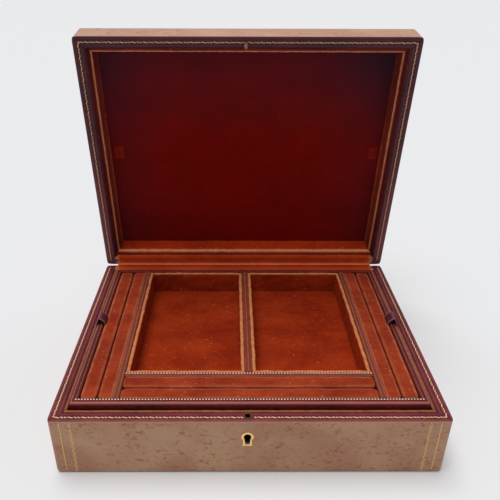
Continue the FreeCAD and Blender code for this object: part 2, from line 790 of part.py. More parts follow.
def make_front_board():
    """The front board, mortised from inside for the lock and drilled for key and staple."""
    body = block("base_front_board", span(WALL_X), (neg(CORE_Y), neg(WALL_Y)), (FLOOR, UNDER_RIM))
    add_block(body, CASE_X, (CASE_FRONT, CASE_BACK), (d("lock_case_bottom"), d("lock_case_top")), "Pocket")
    plate_z = (d("lock_plate_bottom"), UNDER_RIM)
    add_block(body, PLATE_X, (CASE_BACK, PLATE_BACK), plate_z, "Pocket")
    well = less(UNDER_RIM, d("lock_case_top"))
    add_rod(body, "XY_Plane", d("ferrule_radius"), LOCK_X, STAPLE_Y, d("lock_case_top"), well, "Pocket")
    cut_keyhole(body, neg(CORE_Y), CASE_FRONT)


def make_lock():
    case = start_body("lock_case")
    plate_z = (d("lock_plate_bottom"), UNDER_RIM)
    add_block(case, PLATE_X, (CASE_BACK, PLATE_BACK), plate_z)
    case_z = (d("lock_case_bottom"), d("lock_case_top"))
    add_block(case, CASE_X, (CASE_FRONT, CASE_BACK), case_z)
    wall = d("lock_wall")
    inner_x = (plus(CASE_X[0], wall), less(CASE_X[1], wall))
    inner_y = (plus(CASE_FRONT, wall), CASE_BACK)
    inner_z = (plus(case_z[0], wall), less(case_z[1], wall))
    add_block(case, inner_x, inner_y, inner_z, "Pocket")
    cut_keyhole(case, CASE_FRONT, plus(CASE_FRONT, wall))
    add_rod(case, "XY_Plane", d("ferrule_bore"), LOCK_X, STAPLE_Y, inner_z[1], wall, "Pocket")
    for at, height in LOCK_SCREWS:
        depth = d("lock_plate")
        add_rod(case, "XZ_Plane", d("screw_head_radius"), at, height, neg(PLATE_BACK), depth, "Pocket")

    post = start_body("lock_key_post")
    out = neg(CASE_BACK)
    add_rod(post, "XZ_Plane", d("key_post_radius"), LOCK_X, d("key_height"), out, d("key_post_length"))

    bolt = start_body("lock_bolt")
    half_bolt = half(d("bolt_thickness"))
    bolt_y = (less(STAPLE_Y, half_bolt), plus(STAPLE_Y, half_bolt))
    end = plus(BOLT_START, d("bolt_length"))
    add_block(bolt, (BOLT_START, end), bolt_y, (BOLT_LOW, BOLT_TOP))
    talon = (less(end, d("talon_width")), end)
    add_block(bolt, talon, bolt_y, (less(BOLT_LOW, d("talon_height")), BOLT_LOW))
    notch = half(plus(*talon))
    foot = less(BOLT_LOW, d("talon_height"))
    notch_radius = d("talon_notch_radius")
    add_rod(bolt, "XZ_Plane", notch_radius, notch, foot, neg(bolt_y[1]), d("bolt_thickness"), "Pocket")

    spring = start_body("lock_spring")
    thick = d("spring_thickness")
    low = plus(BOLT_TOP, d("spring_gap"))
    right = less(CASE_X[1], wall)
    add_block(spring, (plus(BOLT_START, d("spring_start")), right), bolt_y, (low, plus(low, thick)))
    add_block(spring, (less(right, thick), right), bolt_y, (less(low, d("spring_tail")), plus(low, thick)))

    ferrule = start_body("lock_ferrule")
    depth = d("ferrule_depth")
    foot = less(RIM, depth)
    lip_top = plus(RIM, d("ferrule_lip"))
    add_rod(ferrule, "XY_Plane", d("ferrule_radius"), LOCK_X, STAPLE_Y, d("lock_case_top"),
            less(lip_top, d("lock_case_top")))
    add_rod(ferrule, "XY_Plane", d("ferrule_flange"), LOCK_X, STAPLE_Y, RIM, d("ferrule_lip"))
    whole = plus(depth, d("ferrule_lip"))
    add_rod(ferrule, "XY_Plane", d("ferrule_bore"), LOCK_X, STAPLE_Y, foot, whole, "Pocket")

    escutcheon = start_body("keyhole_escutcheon")
    face = plus(OUT_Y, d("escutcheon_plate"))
    plate = d("escutcheon_plate")
    out = less(face, plate)
    add_rod(escutcheon, "XZ_Plane", d("escutcheon_radius"), LOCK_X, d("key_height"), out, plate)
    sketch = sketch_on(escutcheon, "XZ_Plane", LOCK_X, d("key_height"), out)
    foot = keyhole_outline(d("escutcheon_waist"), d("escutcheon_foot"), d("escutcheon_drop"))
    draw_outline(sketch, foot)
    extrude(escutcheon, sketch, plate)
    cut_keyhole(escutcheon, neg(face), neg(out))

    screws = []
    for i, (at, height) in enumerate(LOCK_SCREWS):
        screws.append(make_screw(f"lock_screw_{i}", at, PLATE_BACK, height, 90))
    return screws


SCREW_SIDES = (plus(PLATE_X[0], d("lock_screw_inset")), less(PLATE_X[1], d("lock_screw_inset")))
LOCK_SCREWS = [(at, height) for height in (d("lock_screw_low"), d("lock_screw_high")) for at in SCREW_SIDES]


def make_strike():
    """The staple on the lid: a plate under the rim's leather and a loop for the bolt."""
    body = start_body("lid_strike", True)
    half_plate = half(d("strike_width"))
    add_block(body, strike_x(), strike_y(half_plate), (LID_UNDER_RIM, STRIKE_TOP))
    loop_x = staple_x()
    loop_y = strike_y(d("staple_half_depth"))
    tip = less(LID_RIM, d("staple_drop"))
    add_block(body, loop_x, loop_y, (tip, LID_UNDER_RIM))
    eye_y = strike_y(less(d("staple_half_depth"), d("staple_leg")))
    eye_z = (plus(tip, d("staple_leg")), plus(tip, d("staple_leg"), d("staple_eye_gap")))
    add_block(body, loop_x, eye_y, eye_z, "Pocket")
    screws = []
    for i, sign in enumerate((-1, 1)):
        reach = less(half(d("strike_length")), d("strike_screw_inset"))
        at = plus(LOCK_X, reach if sign > 0 else neg(reach))
        middle = plus(LID_FRONT, d("staple_inset"))
        thick = d("strike_plate")
        add_rod(body, "XY_Plane", d("screw_head_radius"), at, middle, LID_UNDER_RIM, thick, "Pocket")
        screws.append(make_screw(f"strike_screw_{i}", at, middle, LID_UNDER_RIM, 0))
    return screws


# ---------------------------------------------------------------- the whole case
def main():
    make_base_carcass()
    make_lid_carcass()
    make_tray()
    make_pull_tab("left_pull_tab", -1)
    make_pull_tab("right_pull_tab", 1)
    base_screws, lid_screws = make_hinges()
    base_screws += make_lock()
    lid_screws += make_strike()
    group_screws("base_screws", base_screws)
    group_screws("lid_screws", lid_screws, True)
    doc.recompute()
    for item in doc.Objects:
        if {"Invalid", "Error"} & set(item.State):
            raise RuntimeError(f"{item.Label} failed: {item.State}")
    shapes = {label: doc.getObjectsByLabel(label)[0].Shape for label in LABELS}
    for label, shape in shapes.items():
        if shape.isNull() or not shape.isValid() or not shape.Solids:
            raise RuntimeError(f"{label} has no valid solid")
    os.makedirs("parts", exist_ok=True)
    for label, shape in shapes.items():
        shape.exportStep(f"parts/{label}.step")
    print(len(shapes), "sub-parts written")


main()
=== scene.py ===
import json
import math

import bmesh
import bpy
from mathutils import Matrix, Vector, noise


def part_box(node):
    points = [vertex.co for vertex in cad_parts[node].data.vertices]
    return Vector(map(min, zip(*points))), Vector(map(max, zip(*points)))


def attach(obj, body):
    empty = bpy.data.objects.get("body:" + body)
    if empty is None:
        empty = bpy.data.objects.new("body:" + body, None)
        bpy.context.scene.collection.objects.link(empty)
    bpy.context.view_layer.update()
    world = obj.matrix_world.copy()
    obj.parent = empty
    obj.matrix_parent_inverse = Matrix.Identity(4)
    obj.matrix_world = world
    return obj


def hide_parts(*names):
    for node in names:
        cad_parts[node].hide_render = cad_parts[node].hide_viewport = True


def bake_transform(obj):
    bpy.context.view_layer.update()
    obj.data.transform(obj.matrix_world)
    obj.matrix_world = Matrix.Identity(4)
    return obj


# The looks of a leather jewellery case: mottled tan leather outside, plum leather rims and
# tray walls with gold tooling, and worn velvet inside. Everything is in metres, in the
# row frame. What belongs to the lid is drawn closed, from the hinge axis, then turned open.

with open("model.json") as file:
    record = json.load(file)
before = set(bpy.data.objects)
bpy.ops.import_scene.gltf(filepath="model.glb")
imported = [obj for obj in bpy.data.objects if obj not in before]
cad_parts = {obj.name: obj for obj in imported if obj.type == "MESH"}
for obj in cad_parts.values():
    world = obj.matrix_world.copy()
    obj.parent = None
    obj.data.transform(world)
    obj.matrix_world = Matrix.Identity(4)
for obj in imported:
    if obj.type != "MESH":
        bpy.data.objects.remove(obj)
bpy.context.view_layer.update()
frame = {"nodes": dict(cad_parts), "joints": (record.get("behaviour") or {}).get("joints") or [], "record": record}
MM = 0.001

# ---------------------------------------------------------------- places, from the frame
HALF_W, HALF_D, RIM_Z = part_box("base_rim_leather")[1]
RIM_THICK = RIM_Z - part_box("base_rim_leather")[0].z
WALL_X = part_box("base_lining_right")[1].x
WALL_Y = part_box("base_lining_back")[1].y
RIM_BAND = HALF_W - WALL_X
TRAY_LO = Vector((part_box("tray_left_wall")[0].x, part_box("tray_front_wall")[0].y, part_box("tray_front_wall")[0].z))
TRAY_HI = Vector((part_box("tray_right_wall")[1].x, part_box("tray_back_wall")[1].y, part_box("tray_back_wall")[1].z))
TRAY_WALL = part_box("tray_left_wall")[1].x - TRAY_LO.x
CORNER_RADIUS = 3 * MM
EDGE_RADIUS = 2.8 * MM

HINGE = next(j for j in frame["joints"] if j["name"] == "lid_hinge")
AXIS = Vector(HINGE["pos_m"])
OPEN_ANGLE = math.radians(-HINGE["range_deg"][0])
LID = Matrix.Translation(AXIS) @ Matrix.Rotation(-OPEN_ANGLE, 4, "X")


def lid_box(node):
    """A lid node's lowest and highest corner with the lid closed, from the hinge axis."""
    shut = LID.inverted()
    places = [shut @ v.co for v in frame["nodes"][node].data.vertices]
    low = Vector([min(p[a] for p in places) for a in range(3)])
    high = Vector([max(p[a] for p in places) for a in range(3)])
    return low, high


LID_RIM_Z = lid_box("lid_rim_leather")[0].z
LID_TOP_Z = lid_box("lid_leather_cover")[1].z
BASE_RIM_PLANE = Matrix.Translation((0, 0, RIM_Z))
LID_RIM_PLANE = LID @ Matrix.Translation((0, -HALF_D, LID_RIM_Z)) @ Matrix.Rotation(math.pi, 4, "Y")
SIDES = {
    "front": (HALF_W, HALF_D, 0),
    "right": (HALF_D, HALF_W, math.pi / 2),
    "back": (HALF_W, HALF_D, math.pi),
    "left": (HALF_D, HALF_W, -math.pi / 2),
}


# ---------------------------------------------------------------- shapes, as (vertices, faces)
def smooth(x):
    x = min(max(x, 0.0), 1.0)
    return x * x * (3 - 2 * x)


def near(value, target, reach):
    """1 at the target, falling to 0 a reach away."""
    return smooth(1 - abs(value - target) / reach)


def grid_lines(low, high, radius, cell):
    """Places along one axis of a rounded box, closer together where it bends."""
    bend = [radius * (1 - math.tan(math.radians(a))) for a in (45, 30, 15)]
    flat = high - low - 2 * radius
    count = max(1, round(flat / cell))
    inner = [low + radius + flat * i / count for i in range(count + 1)]
    return [low + b for b in bend] + inner + [high - b for b in reversed(bend)]


def soft_slab(lo, hi, radius, cell):
    """A box with rounded edges, in quads of about one cell."""
    radius = min(radius, 0.499 * min(hi[a] - lo[a] for a in range(3)))
    lines = [grid_lines(lo[a], hi[a], radius, cell) for a in range(3)]
    verts, faces, seen = [], [], {}

    def corner(where):
        if where not in seen:
            flat = Vector([lines[a][where[a]] for a in range(3)])
            inner = Vector([min(max(flat[a], lo[a] + radius), hi[a] - radius) for a in range(3)])
            seen[where] = len(verts)
            verts.append(inner + (flat - inner).normalized() * radius)
        return seen[where]

    for axis in range(3):
        b, c = (axis + 1) % 3, (axis + 2) % 3
        for end in (0, len(lines[axis]) - 1):
            for p in range(len(lines[b]) - 1):
                for q in range(len(lines[c]) - 1):
                    ring = []
                    for dp, dq in ((0, 0), (1, 0), (1, 1), (0, 1)):
                        where = [0, 0, 0]
                        where[axis], where[b], where[c] = end, p + dp, q + dq
                        ring.append(corner(tuple(where)))
                    faces.append(ring)
    return verts, faces


def sweep(sections, looped=False):
    """A skin through rings of points, capped at both ends unless it is looped."""
    count, rings = len(sections[0]), len(sections)
    verts = [Vector(p) for ring in sections for p in ring]
    faces = []
    for i in range(rings if looped else rings - 1):
        a, b = i * count, (i + 1) % rings * count
        for k in range(count):
            n = (k + 1) % count
            faces.append((a + k, a + n, b + n, b + k))
    if not looped:
        faces.append(tuple(range(count)))
        faces.append(tuple(range((rings - 1) * count, rings * count)))
    return verts, faces


def join(shapes):
    verts, faces = [], []
    for more_verts, more_faces in shapes:
        start = len(verts)
        verts += more_verts
        faces += [tuple(start + i for i in f) for f in more_faces]
    return verts, faces


def ruffle(shape, amount, size, seed=0):
    """The same shape with small uneven swellings, as pile and padding have."""
    shift = Vector((seed * 3.7, seed * 1.3, seed * 0.7))
    verts = [v + noise.noise_vector(v / size + shift) * amount for v in shape[0]]
    return verts, shape[1]


def crowned(shape, lo, hi, height, power=2):
    """The same slab with its upper half swollen towards the middle of its width."""
    middle, half = (lo + hi) / 2, (hi - lo) / 2
    verts = []
    for v in shape[0]:
        across = abs(v.x - middle.x) / half.x
        along = abs(v.y - middle.y) / half.y
        rise = (1 - min(across, 1) ** power) * (1 - min(along, 1) ** (power * 6 if half.y > 2 * half.x else power))
        share = smooth((v.z - middle.z) / half.z)
        verts.append(v + Vector((0, 0, height * rise * share)))
    return verts, shape[1]


def turned(shape, matrix):
    return [matrix @ v for v in shape[0]], shape[1]


def bored(shape, centre, radius, reach):
    """The same closed shape with an upright round hole through it."""
    things = []
    for name, (verts, faces) in (("bored", shape), ("bore", round_bar(centre, radius, reach))):
        mesh = bpy.data.meshes.new(name)
        mesh.from_pydata([tuple(v) for v in verts], [], faces)
        tidy_normals(mesh)
        things.append(bpy.data.objects.new(name, mesh))
        bpy.context.scene.collection.objects.link(things[-1])
    cut = things[0].modifiers.new("cut", "BOOLEAN")
    cut.operation = "DIFFERENCE"
    cut.object = things[1]
    cut.solver = "EXACT"
    whole = things[0].evaluated_get(bpy.context.evaluated_depsgraph_get()).to_mesh()
    verts = [v.co.copy() for v in whole.vertices]
    faces = [tuple(f.vertices) for f in whole.polygons]
    for thing in things:
        bpy.data.meshes.remove(thing.data)
    return verts, faces


def round_bar(centre, radius, reach, sides=24):
    rings = []
    for z in (-reach, reach):
        turns = [2 * math.pi * i / sides for i in range(sides)]
        rings.append([centre + Vector((math.cos(a) * radius, math.sin(a) * radius, z)) for a in turns])
    return sweep(rings)


def tidy_normals(mesh):
    work = bmesh.new()
    work.from_mesh(mesh)
    bmesh.ops.recalc_face_normals(work, faces=work.faces)
    work.to_mesh(mesh)
    work.free()


def new_mesh_object(name, shape, material, placed=None, wear_and_shading=None):
    """Each vertex's value, reckoned before the piece is placed, says how worn it is, and also carries painted
    highlights above zero and painted shade and dark seams below zero.
    """
    verts, faces = shape
    mesh = bpy.data.meshes.new(name)
    mesh.from_pydata([tuple(v) for v in verts], [], faces)
    if wear_and_shading:
        worn = mesh.attributes.new("wear_and_shading", "FLOAT", "POINT")
        worn.data.foreach_set("value", [wear_and_shading(v) for v in verts])
    if placed:
        mesh.transform(placed)
    tidy_normals(mesh)
    mesh.polygons.foreach_set("use_smooth", [True] * len(mesh.polygons))
    mesh.materials.append(material)
    made = bpy.data.objects.new(name, mesh)
    bpy.context.scene.collection.objects.link(made)
    return made


def new_piece(name, shape, material, body, replaces=(), placed=None, wear_and_shading=None, sharp=None):
    """A shown piece that rides on a body and stands in for the CAD nodes that it replaces."""
    piece = new_mesh_object(name, shape, material, placed, wear_and_shading)
    if sharp:
        piece.data.set_sharp_from_angle(angle=math.radians(sharp))
    if body:
        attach(piece, body)
    if replaces:
        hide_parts(*replaces)
    return piece


# ---------------------------------------------------------------- materials
def srgb(r, g, b):
    """A linear colour from how it looks on a screen, each 0 to 255."""
    line = [c / 255 / 12.92 if c / 255 <= 0.04045 else ((c / 255 + 0.055) / 1.055) ** 2.4 for c in (r, g, b)]
    return (*line, 1)


class Finish:
    """A material and the few kinds of node that this scene makes it from."""

    def __init__(self, name, roughness=0.6, metallic=0.0, **sockets):
        self.material = bpy.data.materials.new(name)
        self.material.use_nodes = True
        self.tree = self.material.node_tree
        self.shader = self.tree.nodes["Principled BSDF"]
        self.shader.inputs["Roughness"].default_value = roughness
        self.shader.inputs["Metallic"].default_value = metallic
        for socket, value in sockets.items():
            self.shader.inputs[socket.replace("_", " ")].default_value = value
        self.place = self.node("ShaderNodeTexCoord").outputs["Object"]

    def node(self, kind, **settings):
        made = self.tree.nodes.new(kind)
        for key, value in settings.items():
            setattr(made, key, value)
        return made

    def feed(self, socket, value):
        if isinstance(value, bpy.types.NodeSocket):
            self.tree.links.new(value, socket)
        else:
            socket.default_value = value

    def maths(self, operation, a, b=0.0, clamp=False):
        made = self.node("ShaderNodeMath", operation=operation, use_clamp=clamp)
        self.feed(made.inputs[0], a)
        self.feed(made.inputs[1], b)
        return made.outputs[0]

    def grain(self, size, detail=2.0, rough=0.5, stretch=(1, 1, 1), warp=0.0):
        """Noise from 0 to 1 with features of about that size in metres."""
        scaled = self.node("ShaderNodeMapping")
        self.feed(scaled.inputs["Vector"], self.place)
        scaled.inputs["Scale"].default_value = [1 / (size * s) for s in stretch]
        made = self.node("ShaderNodeTexNoise")
        self.feed(made.inputs["Vector"], scaled.outputs[0])
        made.inputs["Scale"].default_value = 1.0
        made.inputs["Detail"].default_value = detail
        made.inputs["Roughness"].default_value = rough
        made.inputs["Distortion"].default_value = warp
        return made.outputs["Fac"]

    def cells(self, size, feature="F1"):
        made = self.node("ShaderNodeTexVoronoi", feature=feature)
        self.feed(made.inputs["Vector"], self.place)
        made.inputs["Scale"].default_value = 1 / size
        return made.outputs["Distance"]

    def step(self, value, low, high):
        """0 below low and 1 above high."""
        made = self.node("ShaderNodeMapRange", interpolation_type="SMOOTHSTEP")
        self.feed(made.inputs["Value"], value)
        made.inputs["From Min"].default_value = low
        made.inputs["From Max"].default_value = high
        return made.outputs["Result"]

    def blend(self, share, a, b, kind="MIX"):
        made = self.node("ShaderNodeMix", data_type="RGBA", blend_type=kind)
        for place, value in ((0, share), (6, a), (7, b)):  # factor, then the two colours
            self.feed(made.inputs[place], value)
        return made.outputs[2]

    def axis(self, letter):
        made = self.node("ShaderNodeSeparateXYZ")
        self.feed(made.inputs[0], self.place)
        return made.outputs[letter]

    def worn(self):
        # The vertex value read here holds wear, painted highlights and painted shade together.
        return self.node("ShaderNodeAttribute", attribute_name="wear_and_shading").outputs["Fac"]

    def bump(self, height, depth):
        made = self.node("ShaderNodeBump")
        made.inputs["Distance"].default_value = depth
        self.feed(made.inputs["Height"], height)
        self.feed(self.shader.inputs["Normal"], made.outputs[0])

    def colour(self, value):
        self.feed(self.shader.inputs["Base Color"], value)

    def roughness(self, low, high, share):
        made = self.node("ShaderNodeMapRange")
        self.feed(made.inputs["Value"], share)
        made.inputs["To Min"].default_value = low
        made.inputs["To Max"].default_value = high
        self.feed(self.shader.inputs["Roughness"], made.outputs["Result"])


GRAIN_RUN = (1.4, 1.4, 1)  # marks on the hide run along the case's walls


def mottled_leather(name, ground, dark, spot, share=0.8):
    """Smooth calf: uneven ground, red-brown spots in drifts, and fine pebbled grain."""
    f = Finish(name, roughness=0.5, Specular_IOR_Level=0.35)
    drift = f.grain(0.05, detail=3, warp=0.6)
    shade = f.blend(f.step(drift, 0.35, 0.7), ground, dark)
    streak = f.step(f.grain(0.016, detail=6, rough=0.7, stretch=(1, 1, 2.4)), 0.5, 0.75)
    shade = f.blend(f.maths("MULTIPLY", streak, 0.3), shade, spot)
    blots = f.step(f.grain(0.0037, detail=3, rough=0.6, stretch=GRAIN_RUN, warp=0.3), 0.54, 0.63)
    flecks = f.step(f.grain(0.0022, detail=3, rough=0.6, stretch=GRAIN_RUN), 0.57, 0.68)
    where = f.step(f.grain(0.024, detail=3, warp=1.0), 0.36, 0.58)
    blots = f.maths("MULTIPLY", blots, where)
    flecks = f.maths("MULTIPLY", flecks, f.maths("ADD", 0.25, f.maths("MULTIPLY", where, 0.6)))
    spots = f.maths("MAXIMUM", blots, flecks)
    marked = f.blend(f.maths("MULTIPLY", spots, share), shade, spot)
    rub = f.grain(0.004, detail=4, rough=0.7)
    edge = f.maths("MULTIPLY", f.worn(), f.maths("ADD", 0.5, rub), clamp=True)
    f.colour(f.blend(edge, marked, srgb(214, 148, 124)))
    pores = f.cells(0.0011)
    f.roughness(0.42, 0.62, f.maths("ADD", f.maths("MULTIPLY", spots, 0.4), drift, clamp=True))
    f.bump(f.maths("ADD", f.maths("MULTIPLY", pores, 0.6), f.grain(0.0005)), 0.00008)
    return f.material


def plum_leather(name, ground, dark, rubbed, shadow):
    """Fine straight-grained leather, rubbed paler where handled, taking painted highlights in the rubbed colour and
    painted shade in the shadow colour where a piece asks for them.
    """
    f = Finish(name, roughness=0.45, Specular_IOR_Level=0.2)
    shade = f.blend(f.step(f.grain(0.03, detail=4, warp=0.5), 0.3, 0.7), ground, dark)
    rub = f.step(f.grain(0.004, detail=4, rough=0.7), 0.45, 0.75)
    uneven = f.maths("ADD", 0.6, f.maths("MULTIPLY", f.grain(0.003, detail=5, rough=0.7), 0.8))
    worn = f.maths("MAXIMUM", f.maths("MULTIPLY", f.worn(), uneven), f.maths("MULTIPLY", rub, 0.1))
    shade = f.blend(worn, shade, rubbed)
    # Below zero the vertex value darkens towards the shadow colour: painted shade in recesses, and dark seams.
    f.colour(f.blend(f.maths("MULTIPLY", f.worn(), -1.0, clamp=True), shade, shadow))
    f.roughness(0.38, 0.56, f.grain(0.006, detail=3))
    f.bump(f.maths("ADD", f.cells(0.0007), f.maths("MULTIPLY", f.grain(0.002), 0.8)), 0.00006)
    return f.material


def velvet(name, ground, dark, worn_and_lit_colour, lint=0.5):
    """Short silk pile: faint brushing, a soft sheen, pale fuzz where it is worn and where a piece paints a highlight,
    painted shade where a piece asks for it, and some lint.
    """
    f = Finish(name, roughness=0.85, Sheen_Weight=0.22, Sheen_Roughness=0.35, Specular_IOR_Level=0.06)
    f.shader.inputs["Sheen Tint"].default_value = srgb(230, 96, 50)
    brushed = f.grain(0.03, detail=2, rough=0.5, stretch=(1.6, 1, 1))
    nap = f.grain(0.006, detail=3, rough=0.6, stretch=(1.5, 1, 1))
    tone = f.maths("ADD", f.maths("MULTIPLY", brushed, 0.65), f.maths("MULTIPLY", nap, 0.35))
    shade = f.blend(f.step(tone, 0.3, 0.7), dark, ground)
    tuft = f.grain(0.0016, detail=4, rough=0.8)
    shade = f.blend(f.maths("MULTIPLY", f.step(tuft, 0.35, 0.7), 0.4), shade, dark)
    specks = f.step(f.grain(0.0016, detail=2, rough=0.5, stretch=(1.6, 1, 1)), 0.67, 0.74)
    patchy = f.maths("ADD", -0.35, f.maths("MULTIPLY", f.grain(0.0045, detail=6, rough=0.75), 2.5))
    bald_and_lit = f.maths("MULTIPLY", f.worn(), patchy, clamp=True)
    bald_and_lit = f.maths("MAXIMUM", bald_and_lit, f.maths("MULTIPLY", specks, lint))
    shade = f.blend(bald_and_lit, shade, worn_and_lit_colour)
    # Below zero the vertex value paints shade in a dark plum.
    f.colour(f.blend(f.maths("MULTIPLY", f.worn(), -1.0, clamp=True), shade, srgb(56, 28, 40)))
    f.bump(f.maths("ADD", tuft, f.maths("MULTIPLY", nap, 1.2)), 0.00025)
    return f.material


def gold_leaf(name, bright, dull):
    f = Finish(name, roughness=0.42, metallic=0.25)
    f.colour(f.blend(f.step(f.grain(0.002, detail=4, rough=0.7), 0.42, 0.72), bright, dull))
    f.roughness(0.35, 0.6, f.grain(0.001))
    return f.material


def metal(name, ground, tarnish, roughness=0.3):
    f = Finish(name, roughness=roughness, metallic=1.0)
    f.colour(f.blend(f.step(f.grain(0.004, detail=5, rough=0.7), 0.4, 0.75), ground, tarnish))
    f.roughness(roughness, roughness + 0.25, f.grain(0.0015, detail=4))
    f.bump(f.grain(0.0006, detail=3), 0.00003)
    return f.material


def paper(name, ground, fibre):
    f = Finish(name, roughness=0.8)
    f.colour(f.blend(f.step(f.grain(0.002, detail=6, rough=0.75), 0.4, 0.7), ground, fibre))
    f.bump(f.grain(0.0007, detail=4), 0.00005)
    return f.material


def wood(name, ground, grain_colour):
    f = Finish(name, roughness=0.7)
    rings = f.grain(0.003, detail=4, rough=0.6, stretch=(14, 1, 1))
    f.colour(f.blend(f.step(rings, 0.35, 0.7), ground, grain_colour))
    f.bump(rings, 0.0001)
    return f.material


def floor_finish():
    f = Finish("pale_floor", roughness=0.9, Specular_IOR_Level=0.1)
    f.colour(f.blend(f.grain(0.4), srgb(237, 238, 239), srgb(238, 239, 240)))
    return f.material


TAN = mottled_leather("mottled_tan_leather", srgb(184, 142, 108), srgb(168, 121, 93), srgb(150, 78, 56), 0.7)
# Painted light: a lighter, pinker copy of the tan leather, standing in for the stronger light on the lid's up-facing
# strip.
LIT_LID_TAN = mottled_leather("lid_tan_leather", srgb(206, 164, 140), srgb(194, 148, 124), srgb(174, 108, 84), 0.5)
PLUM = plum_leather("plum_leather", srgb(122, 44, 50), srgb(96, 28, 36), srgb(206, 136, 132), srgb(44, 16, 20))
# Painted shade: a darker copy of the plum leather for the lid's rim, which faces down and forward into shade.
SHADED_LID_PLUM = plum_leather("lid_plum_leather", srgb(80, 34, 44), srgb(60, 24, 36), srgb(146, 78, 86), srgb(34, 14, 20))
TRAY_PLUM = plum_leather("tray_plum_leather", srgb(104, 26, 24), srgb(80, 16, 18), srgb(208, 126, 114), srgb(40, 10, 14))
DIVIDER_PLUM = plum_leather("divider_leather", srgb(122, 36, 22), srgb(94, 24, 16), srgb(196, 116, 84), srgb(46, 12, 10))
TAB_PLUM = plum_leather("tab_plum_leather", srgb(88, 34, 44), srgb(66, 22, 32), srgb(190, 128, 130), srgb(34, 12, 18))
VELVET = velvet("rust_velvet", srgb(172, 58, 20), srgb(134, 34, 12), srgb(214, 134, 86))
ROLL_VELVET = velvet("ring_roll_velvet", srgb(176, 70, 38), srgb(134, 44, 24), srgb(224, 150, 108), 0.7)
# Painted light: a brighter copy of the rust velvet for the lid's back lining, which sits in the lid's shade.
LIT_BACK_VELVET = velvet("lid_back_velvet", srgb(186, 58, 20), srgb(154, 42, 14), srgb(250, 158, 102))
# Painted light: a much brighter copy of the rust velvet for the gusset, which sits in the lid's shade.
LIT_GUSSET_VELVET = velvet("gusset_velvet", srgb(226, 88, 34), srgb(196, 64, 24), srgb(246, 150, 98))
STRIP_VELVET = velvet("rubbed_velvet", srgb(126, 54, 36), srgb(88, 30, 24), srgb(190, 126, 88))
LID_VELVET = velvet("lid_edge_velvet", srgb(146, 54, 34), srgb(108, 34, 24), srgb(226, 150, 108))
# Painted shade: a darker, redder copy of the rust velvet for the lid's roof, standing in for the dimmer light there.
SHADED_ROOF_VELVET = velvet("lid_velvet", srgb(124, 12, 2), srgb(108, 9, 2), srgb(150, 76, 44), lint=0.15)
GOLD = gold_leaf("gold_tooling", srgb(255, 226, 178), srgb(244, 190, 138))
DOT_GOLD = gold_leaf("gilt_dots", srgb(255, 236, 214), srgb(250, 206, 180))
RUBBED_DOTS = gold_leaf("rubbed_dots", srgb(222, 160, 120), srgb(180, 108, 76))
WALL_GOLD = gold_leaf("wall_gold_lines", srgb(236, 194, 120), srgb(204, 158, 96))
DIM_GOLD = gold_leaf("rubbed_gold_tooling", srgb(218, 176, 124), srgb(176, 128, 90))
BRASS = metal("aged_brass", srgb(250, 212, 146), srgb(216, 166, 100))
DARK_BRASS = metal("darkened_brass", srgb(150, 122, 84), srgb(84, 62, 44))
# Painted shade: dark steel for the lock case, standing in for the unlit inside of the keyhole.
KEYHOLE_SHADE_STEEL = metal("shadowed_steel", srgb(120, 112, 116), srgb(44, 38, 42))
STEEL = metal("lock_steel", srgb(150, 148, 142), srgb(96, 90, 84))
PAPER = paper("bottom_paper", srgb(96, 50, 48), srgb(70, 34, 34))
WOOD = wood("carcass_wood", srgb(196, 160, 116), srgb(160, 120, 78))
# Painted shade: near-black wood for the front board, standing in for the unlit inside of the keyhole.
KEYHOLE_SHADE_WOOD = wood("darkened_wood", srgb(34, 24, 24), srgb(24, 16, 18))


# ---------------------------------------------------------------- rims and gold tooling
RIM_PROFILE = [  # inset and height in millimetres: a flat band, a crease and a rounded bevel inside
    (0, -0.8), (0, -0.35), (0.12, -0.1), (0.45, 0), (2.5, 0), (4.5, 0), (6.3, 0), (6.5, -0.08), (6.75, 0),
    (7.3, -0.04), (8.0, -0.18), (8.7, -0.38), (9.3, -0.6), (9.6, -0.72), (9.7, -0.8),
]
MITRE = ((0, 0.22), (0.25, 0.03), (0.8, 0))  # distance from the mitre, and how far it dips
RIM_CELL = 4 * MM
RIM_MIN = -0.8  # millimetres


def round_corner(p):
    """Squeezes the square corner of the case's plan into its rounded one."""
    away = Vector((CORNER_RADIUS - HALF_W + abs(p.x), CORNER_RADIUS - HALF_D + abs(p.y)))
    if min(away) <= 0:
        return p
    away *= max(away) / away.length
    x = math.copysign(HALF_W - CORNER_RADIUS + away.x, p.x)
    y = math.copysign(HALF_D - CORNER_RADIUS + away.y, p.y)
    return Vector((x, y, p.z))


def on_rim(side, along, inset, height):
    """A point on a rim, which is drawn face up about its own middle."""
    _, half_cross, turn = SIDES[side]
    return round_corner(Matrix.Rotation(turn, 3, "Z") @ Vector((along, inset - half_cross, height)))


def rim_side(side):
    """One straight side of a rim, mitred at both ends."""
    half_long = SIDES[side][0]
    steps = round(2 * half_long / RIM_CELL)
    reach = MITRE[-1][0] * MM

    def ring(place_along, dip):
        made = []
        for inset, height in RIM_PROFILE:
            along = place_along(half_long - inset * MM)
            made.append(on_rim(side, along, inset * MM, max(height - dip, RIM_MIN) * MM))
        return made

    rings = [ring(lambda half, away=away: away * MM - half, dip) for away, dip in MITRE]
    for i in range(1, steps):
        share = 2 * i / steps - 1
        rings.append(ring(lambda half, share=share: share * (half - reach), 0))
    rings += [ring(lambda half, away=away: half - away * MM, dip) for away, dip in reversed(MITRE)]
    return sweep(rings)


